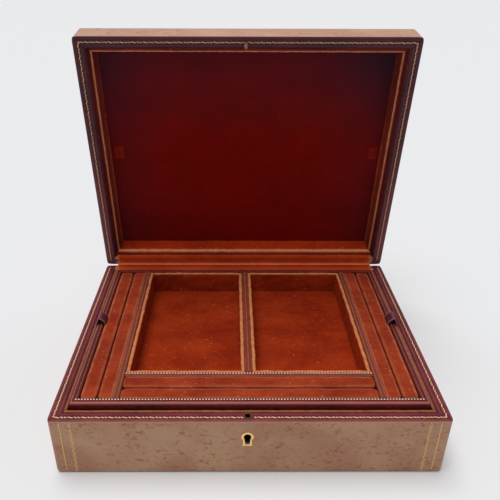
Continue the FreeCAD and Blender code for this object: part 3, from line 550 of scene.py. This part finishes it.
def rim_wear_and_shading(v):
    """Rims are rubbed along the outer edge, with a painted highlight on the bevel; the tooled crease and mitres are
    dark, and painted shade darkens the inner edge by the lining.
    """
    edge = min(HALF_W - abs(v.x), HALF_D - abs(v.y)) / MM
    mitre = abs((HALF_W - abs(v.x)) - (HALF_D - abs(v.y))) / MM
    # The second rubbed term is a painted highlight on the inner bevel.
    rubbed = 0.3 * near(edge, 0, 0.9) + 0.16 * near(edge, 7.3, 0.9)
    # Past 8.6 mm the darkening is painted shade where the rim turns down by the lining; the crease and mitres are dark
    # seams.
    dark = 0.5 * near(edge, 6.5, 0.3) + 0.7 * smooth((edge - 8.6) / 0.8) + 0.5 * near(mitre, 0, 0.4)
    return rubbed - dark


def lid_rim_wear_and_shading(v):
    """The lid's rim is rubbed more towards the hinge."""
    return rim_wear_and_shading(v) + 0.45 * smooth((v.y / HALF_D + 0.7) / 1.7)


LOCK_HOLE = Vector([(a + b) / 2 for a, b in zip(*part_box("lock_ferrule"))])
LOCK_HOLE_RADIUS = (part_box("lock_ferrule")[1].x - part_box("lock_ferrule")[0].x) / 2


def make_rim(name, plane, body, node, material, wear_and_shading, hole=None):
    sides = []
    for side in SIDES:
        shape = ruffle(rim_side(side), 0.04 * MM, 9 * MM)
        if hole and side == "front":
            shape = bored(shape, hole, LOCK_HOLE_RADIUS, 5 * MM)
        sides.append(shape)
    new_piece(name, join(sides), material, body, (node,), plane, wear_and_shading, 35)


MOTIF_LENGTH = 10 * MM
MOTIF = [  # strokes in millimetres along the line and towards the outer edge
    [(0.3, 0.4), (1.6, 0.35), (2.6, 0.65), (3.4, 1.0), (4.7, 1.0)],
    [(5.1, 0.4), (6.0, 0.35), (6.8, 0.9), (7.4, 1.0)],
    [(7.8, 0.4), (8.5, 0.4), (9.1, 0.9), (9.8, 1.0)],
]
CHAIN_LENGTH = 5 * MM
CHAIN = [  # a finer twist of links, for the walls
    [(0.0, 0.2), (0.8, 0.0), (1.6, 0.5), (2.3, 1.3), (3.1, 1.6), (3.9, 1.2), (4.4, 0.5), (5.0, 0.2)],
    [(0.7, 0.9), (1.3, 1.5), (1.9, 1.7)],
    [(3.0, 0.2), (3.6, 0.0), (4.1, 0.4)],
]
RIM_STROKE = 0.78 * MM
CHAIN_STROKE = 0.5 * MM
LEAF_LIFT = 0.05 * MM


def ribbon(path, width, place):
    """A thin strip of leaf along a path in a surface's own two directions."""
    rings = []
    for i, (a, b) in enumerate(path):
        before, after = path[max(i - 1, 0)], path[min(i + 1, len(path) - 1)]
        way = Vector((after[0] - before[0], after[1] - before[1])).normalized() * width / 2
        left, right = (a - way.y, b + way.x), (a + way.y, b - way.x)
        rings.append([place(*left, LEAF_LIFT), place(*right, LEAF_LIFT),
                      place(*right, -LEAF_LIFT), place(*left, -LEAF_LIFT)])
    return sweep(rings)


def tooled_line(low, high, place, motif, length, stroke, gap=None):
    """A roll-tooled motif repeated between two ends, but not within a gap (middle, half width)."""
    count = max(1, round((high - low) / length))
    stretch = (high - low) / count / length
    strips = []
    for i in range(count):
        start = low + i * length * stretch
        for line in motif:
            path = [(start + a * MM * stretch, b * MM) for a, b in line]
            if gap and path[-1][0] > gap[0] - gap[1] and path[0][0] < gap[0] + gap[1]:
                continue
            strips.append(ribbon(path, stroke, place))
    return join(strips)


def make_rim_tooling(name, plane, body, material, inset, gap=None):
    """The tooled line round a rim; the gusset's velvet covers the place of the back one."""
    strips = []
    for side in ("front", "right", "left"):
        half_long = SIDES[side][0]

        def place(along, out, lift, side=side):
            return on_rim(side, along, inset - out, lift)

        reach = half_long - inset + 0.6 * MM
        skip = gap if side == "front" else None
        strips.append(tooled_line(-reach, reach, place, MOTIF, MOTIF_LENGTH, RIM_STROKE, skip))
    new_piece(name, join(strips), material, body, placed=plane)


STRAIGHT_PLACE = 8.4 * MM
CHAIN_PLACE = 17 * MM
STRAIGHT_WIDTH = 0.6 * MM


def wall_point(side, along, height, lift, low, high, round_low):
    """A point on an outside wall, which curves in at the bottom, or at the top for the lid."""
    _, half_cross, turn = SIDES[side]
    from_edge = height - low if round_low else high - height
    deep = max(EDGE_RADIUS - from_edge, 0)
    inward = EDGE_RADIUS - math.sqrt(max(EDGE_RADIUS ** 2 - deep ** 2, 0))
    return Matrix.Rotation(turn, 3, "Z") @ Vector((along, inward - half_cross - lift, height))


def make_wall_tooling(name, low, high, round_low, body, placed=None):
    """At both ends of each wall, a plain gilt line and a tooled one."""
    strips = []
    margin = 0.35 * EDGE_RADIUS
    ends = (low + margin, high - 1 * MM) if round_low else (low + 1 * MM, high - margin)
    steps = 16
    for side, (half_long, _, _) in SIDES.items():
        for end in (-1, 1):
            def place(along_wall, across, lift, side=side, end=end, at=CHAIN_PLACE):
                return wall_point(side, end * (half_long - at + across), along_wall, lift, low, high, round_low)
            strips.append(tooled_line(*ends, place, CHAIN, CHAIN_LENGTH, CHAIN_STROKE))
            path = [(ends[0] + (ends[1] - ends[0]) * i / steps, 0) for i in range(steps + 1)]
            strips.append(ribbon(path, STRAIGHT_WIDTH, lambda a, b, c: place(a, b, c, at=STRAIGHT_PLACE)))
    new_piece(name, join(strips), WALL_GOLD, body, placed=placed)


def edge_wear(height, level):
    """The cord is rubbed pinkish along its top."""
    return 0.9 * smooth((height - level + 0.75 * MM) / (0.5 * MM))


def make_turned_edge(name, level, placed, body):
    """The tan leather's turned edge, a thin cord of it just under the rim."""
    profile = [(0.25, -0.15), (-0.12, -0.2), (-0.25, -0.5), (-0.12, -0.9), (0.25, -1.05)]
    rings = []
    for inset, drop in profile:
        ring = []
        for side, (half_long, _, _) in SIDES.items():
            steps = round(2 * half_long / RIM_CELL)
            for i in range(steps):
                along = (i / steps * 2 - 1) * (half_long - inset * MM)
                ring.append(on_rim(side, along, inset * MM, level + drop * MM))
        rings.append(ring)
    new_piece(name, sweep(rings, looped=True), TAN, body, placed=placed, wear_and_shading=lambda v: edge_wear(v.z, level))


# ---------------------------------------------------------------- velvet linings
def make_strip(name, box, body, top_worn, node, seed, radius=1.1, cell=2.0):
    """A velvet-covered board with its upper edge worn bright."""
    lo, hi = box
    shape = ruffle(soft_slab(lo, hi, radius * MM, cell * MM), 0.22 * MM, 7 * MM, seed)

    def wear_and_shading(v):
        return top_worn * near(v.z, hi.z, 1.5 * MM)

    new_piece(name, shape, STRIP_VELVET, body, (node,), wear_and_shading=wear_and_shading)


def make_base_linings():
    for i, side in enumerate(("front", "back", "left", "right")):
        node = f"base_lining_{side}"
        make_strip(f"velvet_{node}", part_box(node), "base", 0.5, node, i)
    for i, side in enumerate(("left", "right")):
        node = f"tray_rest_{side}"
        make_strip(f"velvet_{node}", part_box(node), "base", 0.4, node, i + 5)


def make_pad(name, node, body, swell, material=VELVET, placed=None, box=None, cell=4.0, wear_and_shading=None):
    """A thin stuffed panel, full in the middle and tucked in all round."""
    lo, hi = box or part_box(node)
    shape = soft_slab(lo, hi - Vector((0, 0, swell)), 0.9 * MM, cell * MM)
    shape = crowned(shape, lo, hi, swell, power=6)
    piece = new_piece(name, ruffle(shape, 0.3 * MM, 30 * MM), material, body, (node,), placed, wear_and_shading)
    return piece


LID_NOSE = {"left": 4.0, "right": 4.0, "front": 5.0, "back": 4.6}
LID_FOOT = {"left": 7.0, "right": 7.0, "front": 6.6, "back": 9.0}
REBATE_DEPTH = 6.5
# each ring of the lid lining: share of the way from nose to foot, or a plain inset, and depth
LID_RINGS = [
    ("inset", 0.1, 0.0), ("inset", 0.6, 0.3), ("inset", 0.75, 2.5), ("inset", 0.6, 4.6), ("inset", 0.9, 5.4),
    ("nose", 0.45, 5.5), ("nose", 0.8, 5.75), ("nose", 0.97, 6.4), ("nose", 1.0, 7.2),
    ("slope", 0.12, 8.6), ("slope", 0.35, 11.0), ("slope", 0.6, 13.6), ("slope", 0.8, 15.8), ("slope", 1.0, 17.6),
    ("inset", 0.1, 17.6),
]


def lid_inset(side, kind, share):
    if kind == "inset":
        return share
    if kind == "nose":
        return LID_NOSE[side] * share
    return LID_NOSE[side] + (LID_FOOT[side] - LID_NOSE[side]) * share


def make_lid_lining(side, seed):
    """One side's padded lining: a rough rebate darkened with painted shade, a worn nose and a slope to the roof, with
    painted shade towards the lid's front on all but the back.
    """
    node = f"lid_lining_{side}"
    low_z = lid_box(node)[0].z
    half = {"x": WALL_X, "y": WALL_Y}
    long_axis = "x" if side in ("front", "back") else "y"
    out = -1 if side in ("front", "left") else 1
    neighbours = ("left", "right") if long_axis == "x" else ("front", "back")
    steps = round(2 * half[long_axis] / (3 * MM))
    sections = []
    for i in range(steps + 1):
        ring = []
        for kind, share, depth in LID_RINGS:
            cross_half = half["y" if long_axis == "x" else "x"]
            cross = out * (cross_half - lid_inset(side, kind, share) * MM)
            ends = [half[long_axis] - lid_inset(n, kind, share) * MM for n in neighbours]
            along = -ends[0] + (ends[0] + ends[1]) * i / steps
            x, y = (along, cross) if long_axis == "x" else (cross, along)
            ring.append(Vector((x, y - HALF_D, low_z + depth * MM)))
        sections.append(ring)

    def wear_and_shading(v):
        depth = (v.z - low_z) / MM
        inset = (WALL_X - abs(v.x) if long_axis == "y" else WALL_Y - abs(v.y + HALF_D)) / MM
        nose = near(inset, LID_NOSE[side], 2.2) * near(depth, 6.4, 1.8)
        foot = 0.35 * near(depth, 16.6, 2.0)
        # Painted shade in the rebate between the rim and the nose.
        rebate_shade = smooth((LID_NOSE[side] - 1.2 - inset) / 0.6) * smooth((7.0 - depth) / 0.5)
        shade = 0 if side == "back" else 0.05 + 0.45 * smooth((-v.y / (2 * HALF_D) - 0.45) / 0.5)
        if side == "back":
            front = smooth((inset - 1.0) / 2.4) * smooth((7.8 - depth) / 1.4)
            # The dark line beside the rim is painted shade in the rebate.
            return 1.1 * front - 0.6 * near(inset, 0.6, 1.0)
        return max(1.1 * nose, foot) - 0.6 * rebate_shade - shade * smooth((depth - 6.8) / 1.2)

    shape = ruffle(sweep(sections), 0.28 * MM, 8 * MM, seed)
    velvet_here = LIT_BACK_VELVET if side == "back" else LID_VELVET
    piece = new_piece(f"velvet_{node}", shape, velvet_here, "lid", (node,), LID, wear_and_shading, 60)


def roof_marks_and_shade(v):
    """Two square marks where something was once fixed, and painted shade darkening towards the lid's front edge and its
    sides.
    """
    marks = 0
    for x in (-127 * MM, 126 * MM):
        wide, tall = abs(v.x - x) / (5 * MM), abs(v.y + 124 * MM) / (7 * MM)
        marks = max(marks, 0.6 * near(max(wide, tall), 0, 1.3) + 0.5 * near(max(wide, tall), 0.8, 0.5))
    front = smooth((-v.y / (2 * HALF_D) - 0.5) / 0.5)
    side = smooth((abs(v.x) / HALF_W - 0.4) / 0.55)
    left = smooth(-v.x / HALF_W)
    return 0.8 * marks - 0.55 * front - 0.35 * side - 0.25 * front * left


# ---------------------------------------------------------------- the tray's soft parts
SLIT = 0.3 * MM
PAD_SPREAD = 1.7 * MM  # how far stuffed pads press out beyond the board below them


def make_ring_pad(name, node, long_axis, seed):
    """Two crowned rolls side by side, with the slit that grips the rings between them."""
    lo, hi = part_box(node)
    across = 0 if long_axis == "y" else 1
    middle = (lo[across] + hi[across]) / 2
    rolls = []
    halves = ((lo[across] - PAD_SPREAD, middle - SLIT / 2), (middle + SLIT / 2, hi[across] + PAD_SPREAD))
    for low, high in halves:
        a, b = lo.copy(), hi.copy()
        a[across], b[across] = low, high
        rolls.append(roll(a, b, across, seed + len(rolls)))

    # Pale along the rolls' top edges, their ends and beside the slit: painted highlights; dark in the slit: painted
    # shade.
    def wear_and_shading(v):
        top = near(v.z, hi.z + 0.9 * MM, 1.4 * MM)
        edge = max(near(v[across], lo[across], 1.3 * MM), near(v[across], hi[across], 1.3 * MM))
        tip = max(near(v[1 - across], lo[1 - across], 1.6 * MM), near(v[1 - across], hi[1 - across], 1.6 * MM))
        deep = near(abs(v[across] - middle), 0, 0.9 * MM)
        ridge = 0.3 * near(abs(v[across] - middle), 1.6 * MM, 1.1 * MM)
        return top * max(edge * 0.75, tip * 0.85, ridge) - 0.8 * deep

    piece = new_piece(name, join(rolls), ROLL_VELVET, "tray", (node,), wear_and_shading=wear_and_shading)


ROLL_LIFT = 1.9 * MM
ROLL_CROWN = 1.0 * MM
ROLL_END = 5.5 * MM


def roll(lo, hi, across, seed):
    """One stuffed roll: full sides, a low crown and tucked ends."""
    top = hi.z + ROLL_LIFT - ROLL_CROWN
    shape = soft_slab(lo, Vector((hi.x, hi.y, top)), 1.5 * MM, 2.0 * MM)
    half = (hi[across] - lo[across]) / 2
    middle = (hi[across] + lo[across]) / 2
    verts = []
    for v in shape[0]:
        side = min(abs(v[across] - middle) / half, 1)
        tip = min(v[1 - across] - lo[1 - across], hi[1 - across] - v[1 - across])
        v[across] = middle + (v[across] - middle) * (1 - 0.3 * max(1 - tip / ROLL_END, 0) ** 2)
        rise = ROLL_CROWN * math.sqrt(max(1 - side ** 3, 0)) * smooth(tip / (3 * MM) + 0.35)
        verts.append(v + Vector((0, 0, rise * smooth((v.z - lo.z) / (top - lo.z)))))
    return ruffle(ruffle((verts, shape[1]), 0.35 * MM, 11 * MM, seed), 0.15 * MM, 3 * MM, seed)


WELL_WALL = 3.2 * MM


def make_well(name, node, seed):
    """A velvet-lined well: four padded walls and a floor pad tucked in between them."""
    lo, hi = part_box(node)
    floor = lo.z + 2 * MM
    walls = [
        (Vector((lo.x, lo.y, lo.z)), Vector((lo.x + WELL_WALL, hi.y, hi.z))),
        (Vector((hi.x - WELL_WALL, lo.y, lo.z)), Vector((hi.x, hi.y, hi.z))),
        (Vector((lo.x + WELL_WALL * 0.6, lo.y, lo.z)), Vector((hi.x - WELL_WALL * 0.6, lo.y + WELL_WALL, hi.z))),
        (Vector((lo.x + WELL_WALL * 0.6, hi.y - WELL_WALL, lo.z)), Vector((hi.x - WELL_WALL * 0.6, hi.y, hi.z))),
    ]
    parts = [ruffle(soft_slab(a, b, 1.4 * MM, 2.0 * MM), 0.45 * MM, 6 * MM, seed + i) for i, (a, b) in enumerate(walls)]
    a = Vector((lo.x + WELL_WALL * 0.8, lo.y + WELL_WALL * 0.8, lo.z))
    b = Vector((hi.x - WELL_WALL * 0.8, hi.y - WELL_WALL * 0.8, floor))
    pad = soft_slab(a, b, 1.0 * MM, 2.5 * MM)
    parts.append(ruffle(pad, 0.2 * MM, 15 * MM, seed + 9))

    def wear_and_shading(v):
        return near(v.z, hi.z, 1.6 * MM)

    piece = new_piece(name, join(parts), VELVET, "tray", (node,), wear_and_shading=wear_and_shading)


# ---------------------------------------------------------------- the tray's leather walls
FRAME_PROFILE = [  # inset and height in millimetres from the wall's outer top edge
    (0, -18.4), (0, -9), (0, -2.6), (0.12, -1.7), (0.45, -0.9), (1.0, -0.35), (1.8, -0.05), (2.6, 0),
    (4.0, 0), (5.2, -0.02), (5.7, -0.25), (5.95, -0.8), (6.0, -2.0), (6.0, -9), (6.0, -18.4),
]
PLAN_CORNERS = [(-1, -1), (1, -1), (1, 1), (-1, 1)]


def make_tray_frame():
    """The leather round the tray's four walls, mitred at the corners, with a painted highlight along the rounded top
    edge and painted shade down the wall faces.
    """
    middle, half = (TRAY_LO + TRAY_HI) / 2, (TRAY_HI - TRAY_LO) / 2
    sections = []
    for i, start in enumerate(PLAN_CORNERS):
        end = PLAN_CORNERS[(i + 1) % 4]
        steps = round((abs(end[0] - start[0]) * half.x + abs(end[1] - start[1]) * half.y) / (3 * MM))
        for k in range(steps):
            x, y = (a + (b - a) * k / steps for a, b in zip(start, end))
            sections.append([
                Vector((middle.x + x * (half.x - inset * MM), middle.y + y * (half.y - inset * MM), TRAY_HI.z + up * MM))
                for inset, up in FRAME_PROFILE
            ])

    def wear_and_shading(v):
        out = min(half.x - abs(v.x - middle.x), half.y - abs(v.y - middle.y)) / MM
        down = (TRAY_HI.z - v.z) / MM
        # The pale rounded edge is a painted highlight; the darkening lower down is painted shade.
        rounded = near(out, 0.9, 1.2) * smooth((3 - down) / 2)
        return 0.65 * rounded + 0.1 * near(out, 5.6, 0.5) - 0.7 * smooth((down - 2.4) / 2.6)

    nodes = [f"tray_{side}_wall" for side in SIDES]
    shape = ruffle(sweep(sections, looped=True), 0.08 * MM, 9 * MM)
    new_piece("tray_leather_frame", shape, TRAY_PLUM, "tray", nodes, wear_and_shading=wear_and_shading, sharp=40)


def make_dividers():
    for i, name in enumerate(("left", "right", "front", "centre")):
        node = f"tray_{name}_divider"
        lo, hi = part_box(node)
        shape = ruffle(soft_slab(lo, hi, 0.9 * MM, 3 * MM), 0.08 * MM, 9 * MM, i)
        across = 1 if name == "front" else 0

        # A painted highlight along the rounded top edges.
        def wear_and_shading(v, lo=lo, hi=hi, across=across):
            edge = min(abs(v[across] - lo[across]), abs(v[across] - hi[across]))
            return 0.3 * near(edge, 0.5 * MM, 0.8 * MM) * near(v.z, hi.z, 0.9 * MM)

        new_piece(f"leather_{name}_divider", shape, DIVIDER_PLUM, "tray", (node,), wear_and_shading=wear_and_shading)


# ---------------------------------------------------------------- the tray's gilt dots
DOT_PITCH = 2.3 * MM
DOT_RADIUS = 0.72 * MM
RUBBED_RADIUS = 0.42 * MM
DOT_SIDES = 8


def dot(centre, radius):
    ring = []
    for i in range(DOT_SIDES):
        a = 2 * math.pi * i / DOT_SIDES
        ring.append(centre + Vector((math.cos(a) * radius, math.sin(a) * radius, 0)))
    low = [p - Vector((0, 0, 0.06 * MM)) for p in ring]
    high = [centre + (p - centre) * 0.55 + Vector((0, 0, 0.12 * MM)) for p in ring]
    return sweep([low, ring, high])


def dotted_line(a, b, radius=DOT_RADIUS):
    count = max(1, round((b - a).length / DOT_PITCH))
    return [dot(a.lerp(b, i / count), radius) for i in range(count + 1)]


def make_tray_dots():
    """Bright dots along the front and the front divider, rubbed small ones everywhere else."""
    inset = 0.72 * TRAY_WALL
    top = TRAY_HI.z
    x, front, back = TRAY_HI.x - inset, TRAY_LO.y + inset, TRAY_HI.y - inset
    bright = dotted_line(Vector((-x, front, top)), Vector((x, front, top)))
    lo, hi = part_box("tray_front_divider")
    at = lo.y + 0.72 * (hi.y - lo.y)
    bright += dotted_line(Vector((lo.x + 1 * MM, at, hi.z)), Vector((hi.x - 1 * MM, at, hi.z)))
    dim = dotted_line(Vector((-x, back, top)), Vector((x, back, top)), RUBBED_RADIUS)
    lines = [-x, x]
    for name, shares in (("left", (0.25, 0.72)), ("right", (0.28, 0.75)), ("centre", (0.5,))):
        lo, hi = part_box(f"tray_{name}_divider")
        lines += [lo.x + share * (hi.x - lo.x) for share in shares]
    for at in lines:
        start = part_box("tray_centre_divider")[0].y if abs(at) < 20 * MM else front
        dim += dotted_line(Vector((at, start + DOT_PITCH, top)), Vector((at, back - DOT_PITCH, top)), RUBBED_RADIUS)
    new_piece("tray_gilt_dots", join(bright), DOT_GOLD, "tray")
    new_piece("tray_rubbed_dots", join(dim), RUBBED_DOTS, "tray")


# ---------------------------------------------------------------- pull tabs
TAB_THICK = 1.1 * MM
TAB_SPREAD = 0.8 * MM
TAB_ACROSS = [  # place across the strap, as a share of half its width, and share of its thickness
    (-1.0, 0.25), (-0.97, 0.8), (-0.9, 1.0), (-0.82, 1.0), (-0.77, 0.72), (-0.72, 1.0), (-0.3, 1.08), (0, 1.1),
    (0.3, 1.08), (0.72, 1.0), (0.77, 0.72), (0.82, 1.0), (0.9, 1.0), (0.97, 0.8), (1.0, 0.25),
]


def spline(poles, steps):
    """Points on a clamped smooth curve through quadratic arcs between the poles."""
    points = []
    last = len(poles) - 2
    for i in range(last):
        start = poles[0] if i == 0 else (poles[i] + poles[i + 1]) / 2
        end = poles[-1] if i == last - 1 else (poles[i + 1] + poles[i + 2]) / 2
        for k in range(steps):
            s = k / steps
            points.append(start * (1 - s) ** 2 + poles[i + 1] * 2 * s * (1 - s) + end * s * s)
    points.append(poles[-1].copy())
    return points


def make_tab(side, out):
    """A leather strap folded over the tray's side wall, creased along both edges."""
    node = f"{side}_pull_tab"
    lo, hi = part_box(node)
    half = (hi.y - lo.y) / 2 + TAB_SPREAD
    middle = (hi.y + lo.y) / 2
    outer = max(abs(lo.x), abs(hi.x)) - TAB_THICK / 2 - 0.05 * MM
    inner = min(abs(lo.x), abs(hi.x)) + TAB_THICK / 2 - TAB_SPREAD
    top, crown = TRAY_HI.z, hi.z - TAB_THICK / 2
    path = [
        (outer, lo.z), (outer, top - 3 * MM), (outer - 0.1 * MM, top + 0.2 * MM), (outer - 2.1 * MM, crown - 2.8 * MM),
        (outer - 2.7 * MM, crown - 0.4 * MM), (outer - 4.1 * MM, crown - 1.0 * MM),
        (inner + 0.4 * MM, top + 3 * MM), (inner, top + 0.5 * MM), (inner, top - 3 * MM), (inner, lo.z),
    ]
    points = spline([Vector((out * x, 0, z)) for x, z in path], 6)
    rings = []
    for i, p in enumerate(points):
        way = (points[min(i + 1, len(points) - 1)] - points[max(i - 1, 0)]).normalized()
        up = Vector((-way.z, 0, way.x))
        ring = [p + up * TAB_THICK / 2 * t + Vector((0, middle + a * half, 0)) for a, t in TAB_ACROSS]
        ring += [p - up * TAB_THICK / 2 * t + Vector((0, middle + a * half, 0)) for a, t in reversed(TAB_ACROSS)]
        rings.append(ring)

    # Painted highlights along the creases and the edges, and on the crown of the fold.
    def wear_and_shading(v):
        across = abs(v.y - middle) / half
        fold = near(v.z, crown, 1.6 * MM) * 0.25
        return max(0.55 * near(across, 0.82, 0.08), 0.55 * near(across, 1.0, 0.08), fold)

    new_piece(node.replace("pull_tab", "leather_tab"), sweep(rings), TAB_PLUM, f"{side}_tab", (node,), wear_and_shading=wear_and_shading, sharp=50)


# ---------------------------------------------------------------- the gusset
GUSSET_PATH = [  # from the hinge axis in millimetres, y back and z up with the lid open
    (-12.3, -0.50), (-11.6, -0.36), (-9.5, -0.30), (-7.0, -0.26), (-5.2, -0.30), (-4.2, -0.36),
    (-3.5, -0.20), (-3.3, 0.35), (-3.45, 0.95), (-3.2, 1.55), (-2.7, 1.75), (-2.1, 1.9), (-1.75, 2.4),
]
GUSSET_THICK = 0.75 * MM


def gusset_line():
    """The base half, and the same line mirrored about the middle of the opening for the lid."""
    halfway = math.pi - OPEN_ANGLE / 2
    bisector = Vector((math.cos(halfway), math.sin(halfway)))
    base = [Vector(p) for p in GUSSET_PATH]
    lid = []
    for p in reversed(base):
        lid.append(bisector * 2 * p.dot(bisector) - p)
    return [p * MM for p in base + lid], bisector


def make_gusset():
    lo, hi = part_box("gusset_base_half")
    line, bisector = gusset_line()
    steps = round((hi.x - lo.x) / (3 * MM))
    half = GUSSET_THICK / 2
    sections = []
    for i in range(steps + 1):
        x = lo.x + (hi.x - lo.x) * i / steps
        front, back = [], []
        for k, p in enumerate(line):
            way = (line[min(k + 1, len(line) - 1)] - line[max(k - 1, 0)]).normalized()
            side = Vector((-way.y, way.x)) * half
            front.append(Vector((x, AXIS.y + p.x + side.x, AXIS.z + p.y + side.y)))
            back.append(Vector((x, AXIS.y + p.x - side.x, AXIS.z + p.y - side.y)))
        sections.append(front + back[::-1])
    length = sum((b - a).length for a, b in zip(line, line[1:]))
    centre = Vector((0, AXIS.y, AXIS.z)) + Vector((0, bisector.x, bisector.y)) * 3.4 * MM

    # Painted highlight along the fold's crest and at the ends, painted shade in the bands beside the fold.
    def wear_and_shading(v):
        away = (Vector((0, v.y, v.z)) - centre).length
        ends = near(abs(v.x), hi.x, 2 * MM)
        dark = 0.65 * near(away, 2.2 * MM, 0.9 * MM) + 0.4 * near(away, 5.2 * MM, 1.3 * MM)
        return max(0.85 * near(away, 0, 1.3 * MM), 0.5 * ends) - dark

    shape = ruffle(sweep(sections), 0.2 * MM, 9 * MM)
    gusset = new_piece("velvet_gusset", shape, LIT_GUSSET_VELVET, None, wear_and_shading=wear_and_shading)
    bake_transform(gusset)
    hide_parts("gusset_base_half", "gusset_lid_half")


# ---------------------------------------------------------------- carried-over CAD nodes
def dress(node, material):
    target = frame["nodes"][node]
    target.data.materials.clear()
    target.data.materials.append(material)


def dress_nodes():
    slot_finish = {
        "tan_leather": TAN, "plum_leather": PLUM, "bottom_paper": PAPER, "carcass_wood": WOOD,
        "lining_velvet": VELVET, "brass": BRASS, "steel": STEEL,
    }
    for part in frame["record"]["subparts"]:
        if part["node"] in frame["nodes"]:
            dress(part["node"], slot_finish[part["material_slot"]])
    # The front board is painted dark as shade inside the keyhole.
    dress("base_front_board", KEYHOLE_SHADE_WOOD)
    dress("lid_leather_cover", LIT_LID_TAN)
    dress("lid_strike", DARK_BRASS)
    dress("lock_ferrule", DARK_BRASS)
    # The lock case is painted dark as shade inside the keyhole.
    dress("lock_case", KEYHOLE_SHADE_STEEL)
    dress("tray_bottom_board", PAPER)


# ---------------------------------------------------------------- floor, light and camera
CAMERA_PLACE = (-0.01481, -0.43292, 0.35437)
CAMERA_PITCH = 29.174
CAMERA_YAW = 0.336
CAMERA_ROLL = 0.198
CAMERA_LENS = 41.168
CAMERA_SHIFT = (0.0331, 0.0434)


def make_floor():
    verts = [Vector((x, y, 0)) for y in (-20, 20) for x in (-20, 20)]
    new_mesh_object("floor", (verts, [(0, 1, 3, 2)]), floor_finish())


def make_light(name, kind, energy, place, aim, **settings):
    data = bpy.data.lights.new(name, kind)
    data.energy = energy
    for key, value in settings.items():
        setattr(data, key, value)
    lamp = bpy.data.objects.new(name, data)
    lamp.location = place
    lamp.rotation_euler = (Vector(aim) - Vector(place)).to_track_quat("-Z", "Y").to_euler()
    bpy.context.scene.collection.objects.link(lamp)


def light_scene():
    world = bpy.data.worlds.new("studio")
    bpy.context.scene.world = world
    world.use_nodes = True
    world.node_tree.nodes["Background"].inputs["Color"].default_value = srgb(250, 251, 255)
    world.node_tree.nodes["Background"].inputs["Strength"].default_value = 0.33
    make_light("key", "SUN", 1.2, (-0.35, -0.4, 2.0), (0, 0, 0), angle=math.radians(36))
    make_light("back", "SUN", 0.95, (-0.3, 0.5, 2.0), (0, 0, 0), angle=math.radians(30))


def place_camera():
    data = bpy.data.cameras.new("camera")
    data.sensor_width = 36
    data.lens = CAMERA_LENS
    data.shift_x, data.shift_y = CAMERA_SHIFT
    data.clip_start, data.clip_end = 0.01, 50
    camera = bpy.data.objects.new("camera", data)
    camera.location = CAMERA_PLACE
    turn = Matrix.Rotation(math.radians(-CAMERA_YAW), 3, "Z") @ Matrix.Rotation(math.radians(90 - CAMERA_PITCH), 3, "X")
    camera.rotation_euler = (turn @ Matrix.Rotation(math.radians(CAMERA_ROLL), 3, "Z")).to_euler()
    bpy.context.scene.collection.objects.link(camera)
    bpy.context.scene.camera = camera
    bpy.context.scene.view_settings.view_transform = "Standard"


def main():
    dress_nodes()
    make_rim("base_rim", BASE_RIM_PLANE, "base", "base_rim_leather", PLUM, rim_wear_and_shading, LOCK_HOLE - Vector((0, 0, LOCK_HOLE.z)))
    make_rim("lid_rim", LID_RIM_PLANE, "lid", "lid_rim_leather", SHADED_LID_PLUM, lid_rim_wear_and_shading)
    gap = (LOCK_HOLE.x, LOCK_HOLE_RADIUS)
    make_rim_tooling("base_rim_tooling", BASE_RIM_PLANE, "base", GOLD, 4.6 * MM, gap)
    make_rim_tooling("lid_rim_tooling", LID_RIM_PLANE, "lid", DIM_GOLD, 5.4 * MM)
    make_wall_tooling("base_wall_tooling", 0, RIM_Z - RIM_THICK, True, "base")
    shut_lid = LID @ Matrix.Translation((0, -HALF_D, 0))
    make_wall_tooling("lid_wall_tooling", LID_RIM_Z + RIM_THICK, LID_TOP_Z, False, "lid", shut_lid)
    make_turned_edge("base_turned_edge", 0, BASE_RIM_PLANE @ Matrix.Translation((0, 0, -0.6 * MM)), "base")
    make_turned_edge("lid_turned_edge", 0, LID_RIM_PLANE @ Matrix.Translation((0, 0, -0.6 * MM)), "lid")
    make_base_linings()
    make_pad("base_floor_velvet", "base_floor_pad", "base", 0.5 * MM)
    for i, side in enumerate(LID_NOSE):
        make_lid_lining(side, i + 3)
    lo, hi = lid_box("lid_roof_pad")
    flip = Matrix.Scale(-1, 4, (0, 0, 1)) @ Matrix.Scale(-1, 4, (1, 0, 0))
    box = (Vector((lo.x, lo.y, -hi.z)), Vector((hi.x, hi.y, -lo.z)))
    make_pad("lid_roof_velvet", "lid_roof_pad", "lid", 0.8 * MM, SHADED_ROOF_VELVET, LID @ flip, box, 2.5, roof_marks_and_shade)
    make_ring_pad("left_ring_rolls", "left_ring_pad", "y", 1)
    make_ring_pad("right_ring_rolls", "right_ring_pad", "y", 4)
    make_ring_pad("front_ring_rolls", "front_ring_pad", "x", 7)
    make_well("left_velvet_well", "left_well_liner", 2)
    make_well("right_velvet_well", "right_well_liner", 6)
    make_tray_frame()
    make_dividers()
    make_tray_dots()
    make_tab("left", -1)
    make_tab("right", 1)
    make_gusset()
    make_floor()
    light_scene()
    place_camera()


main()
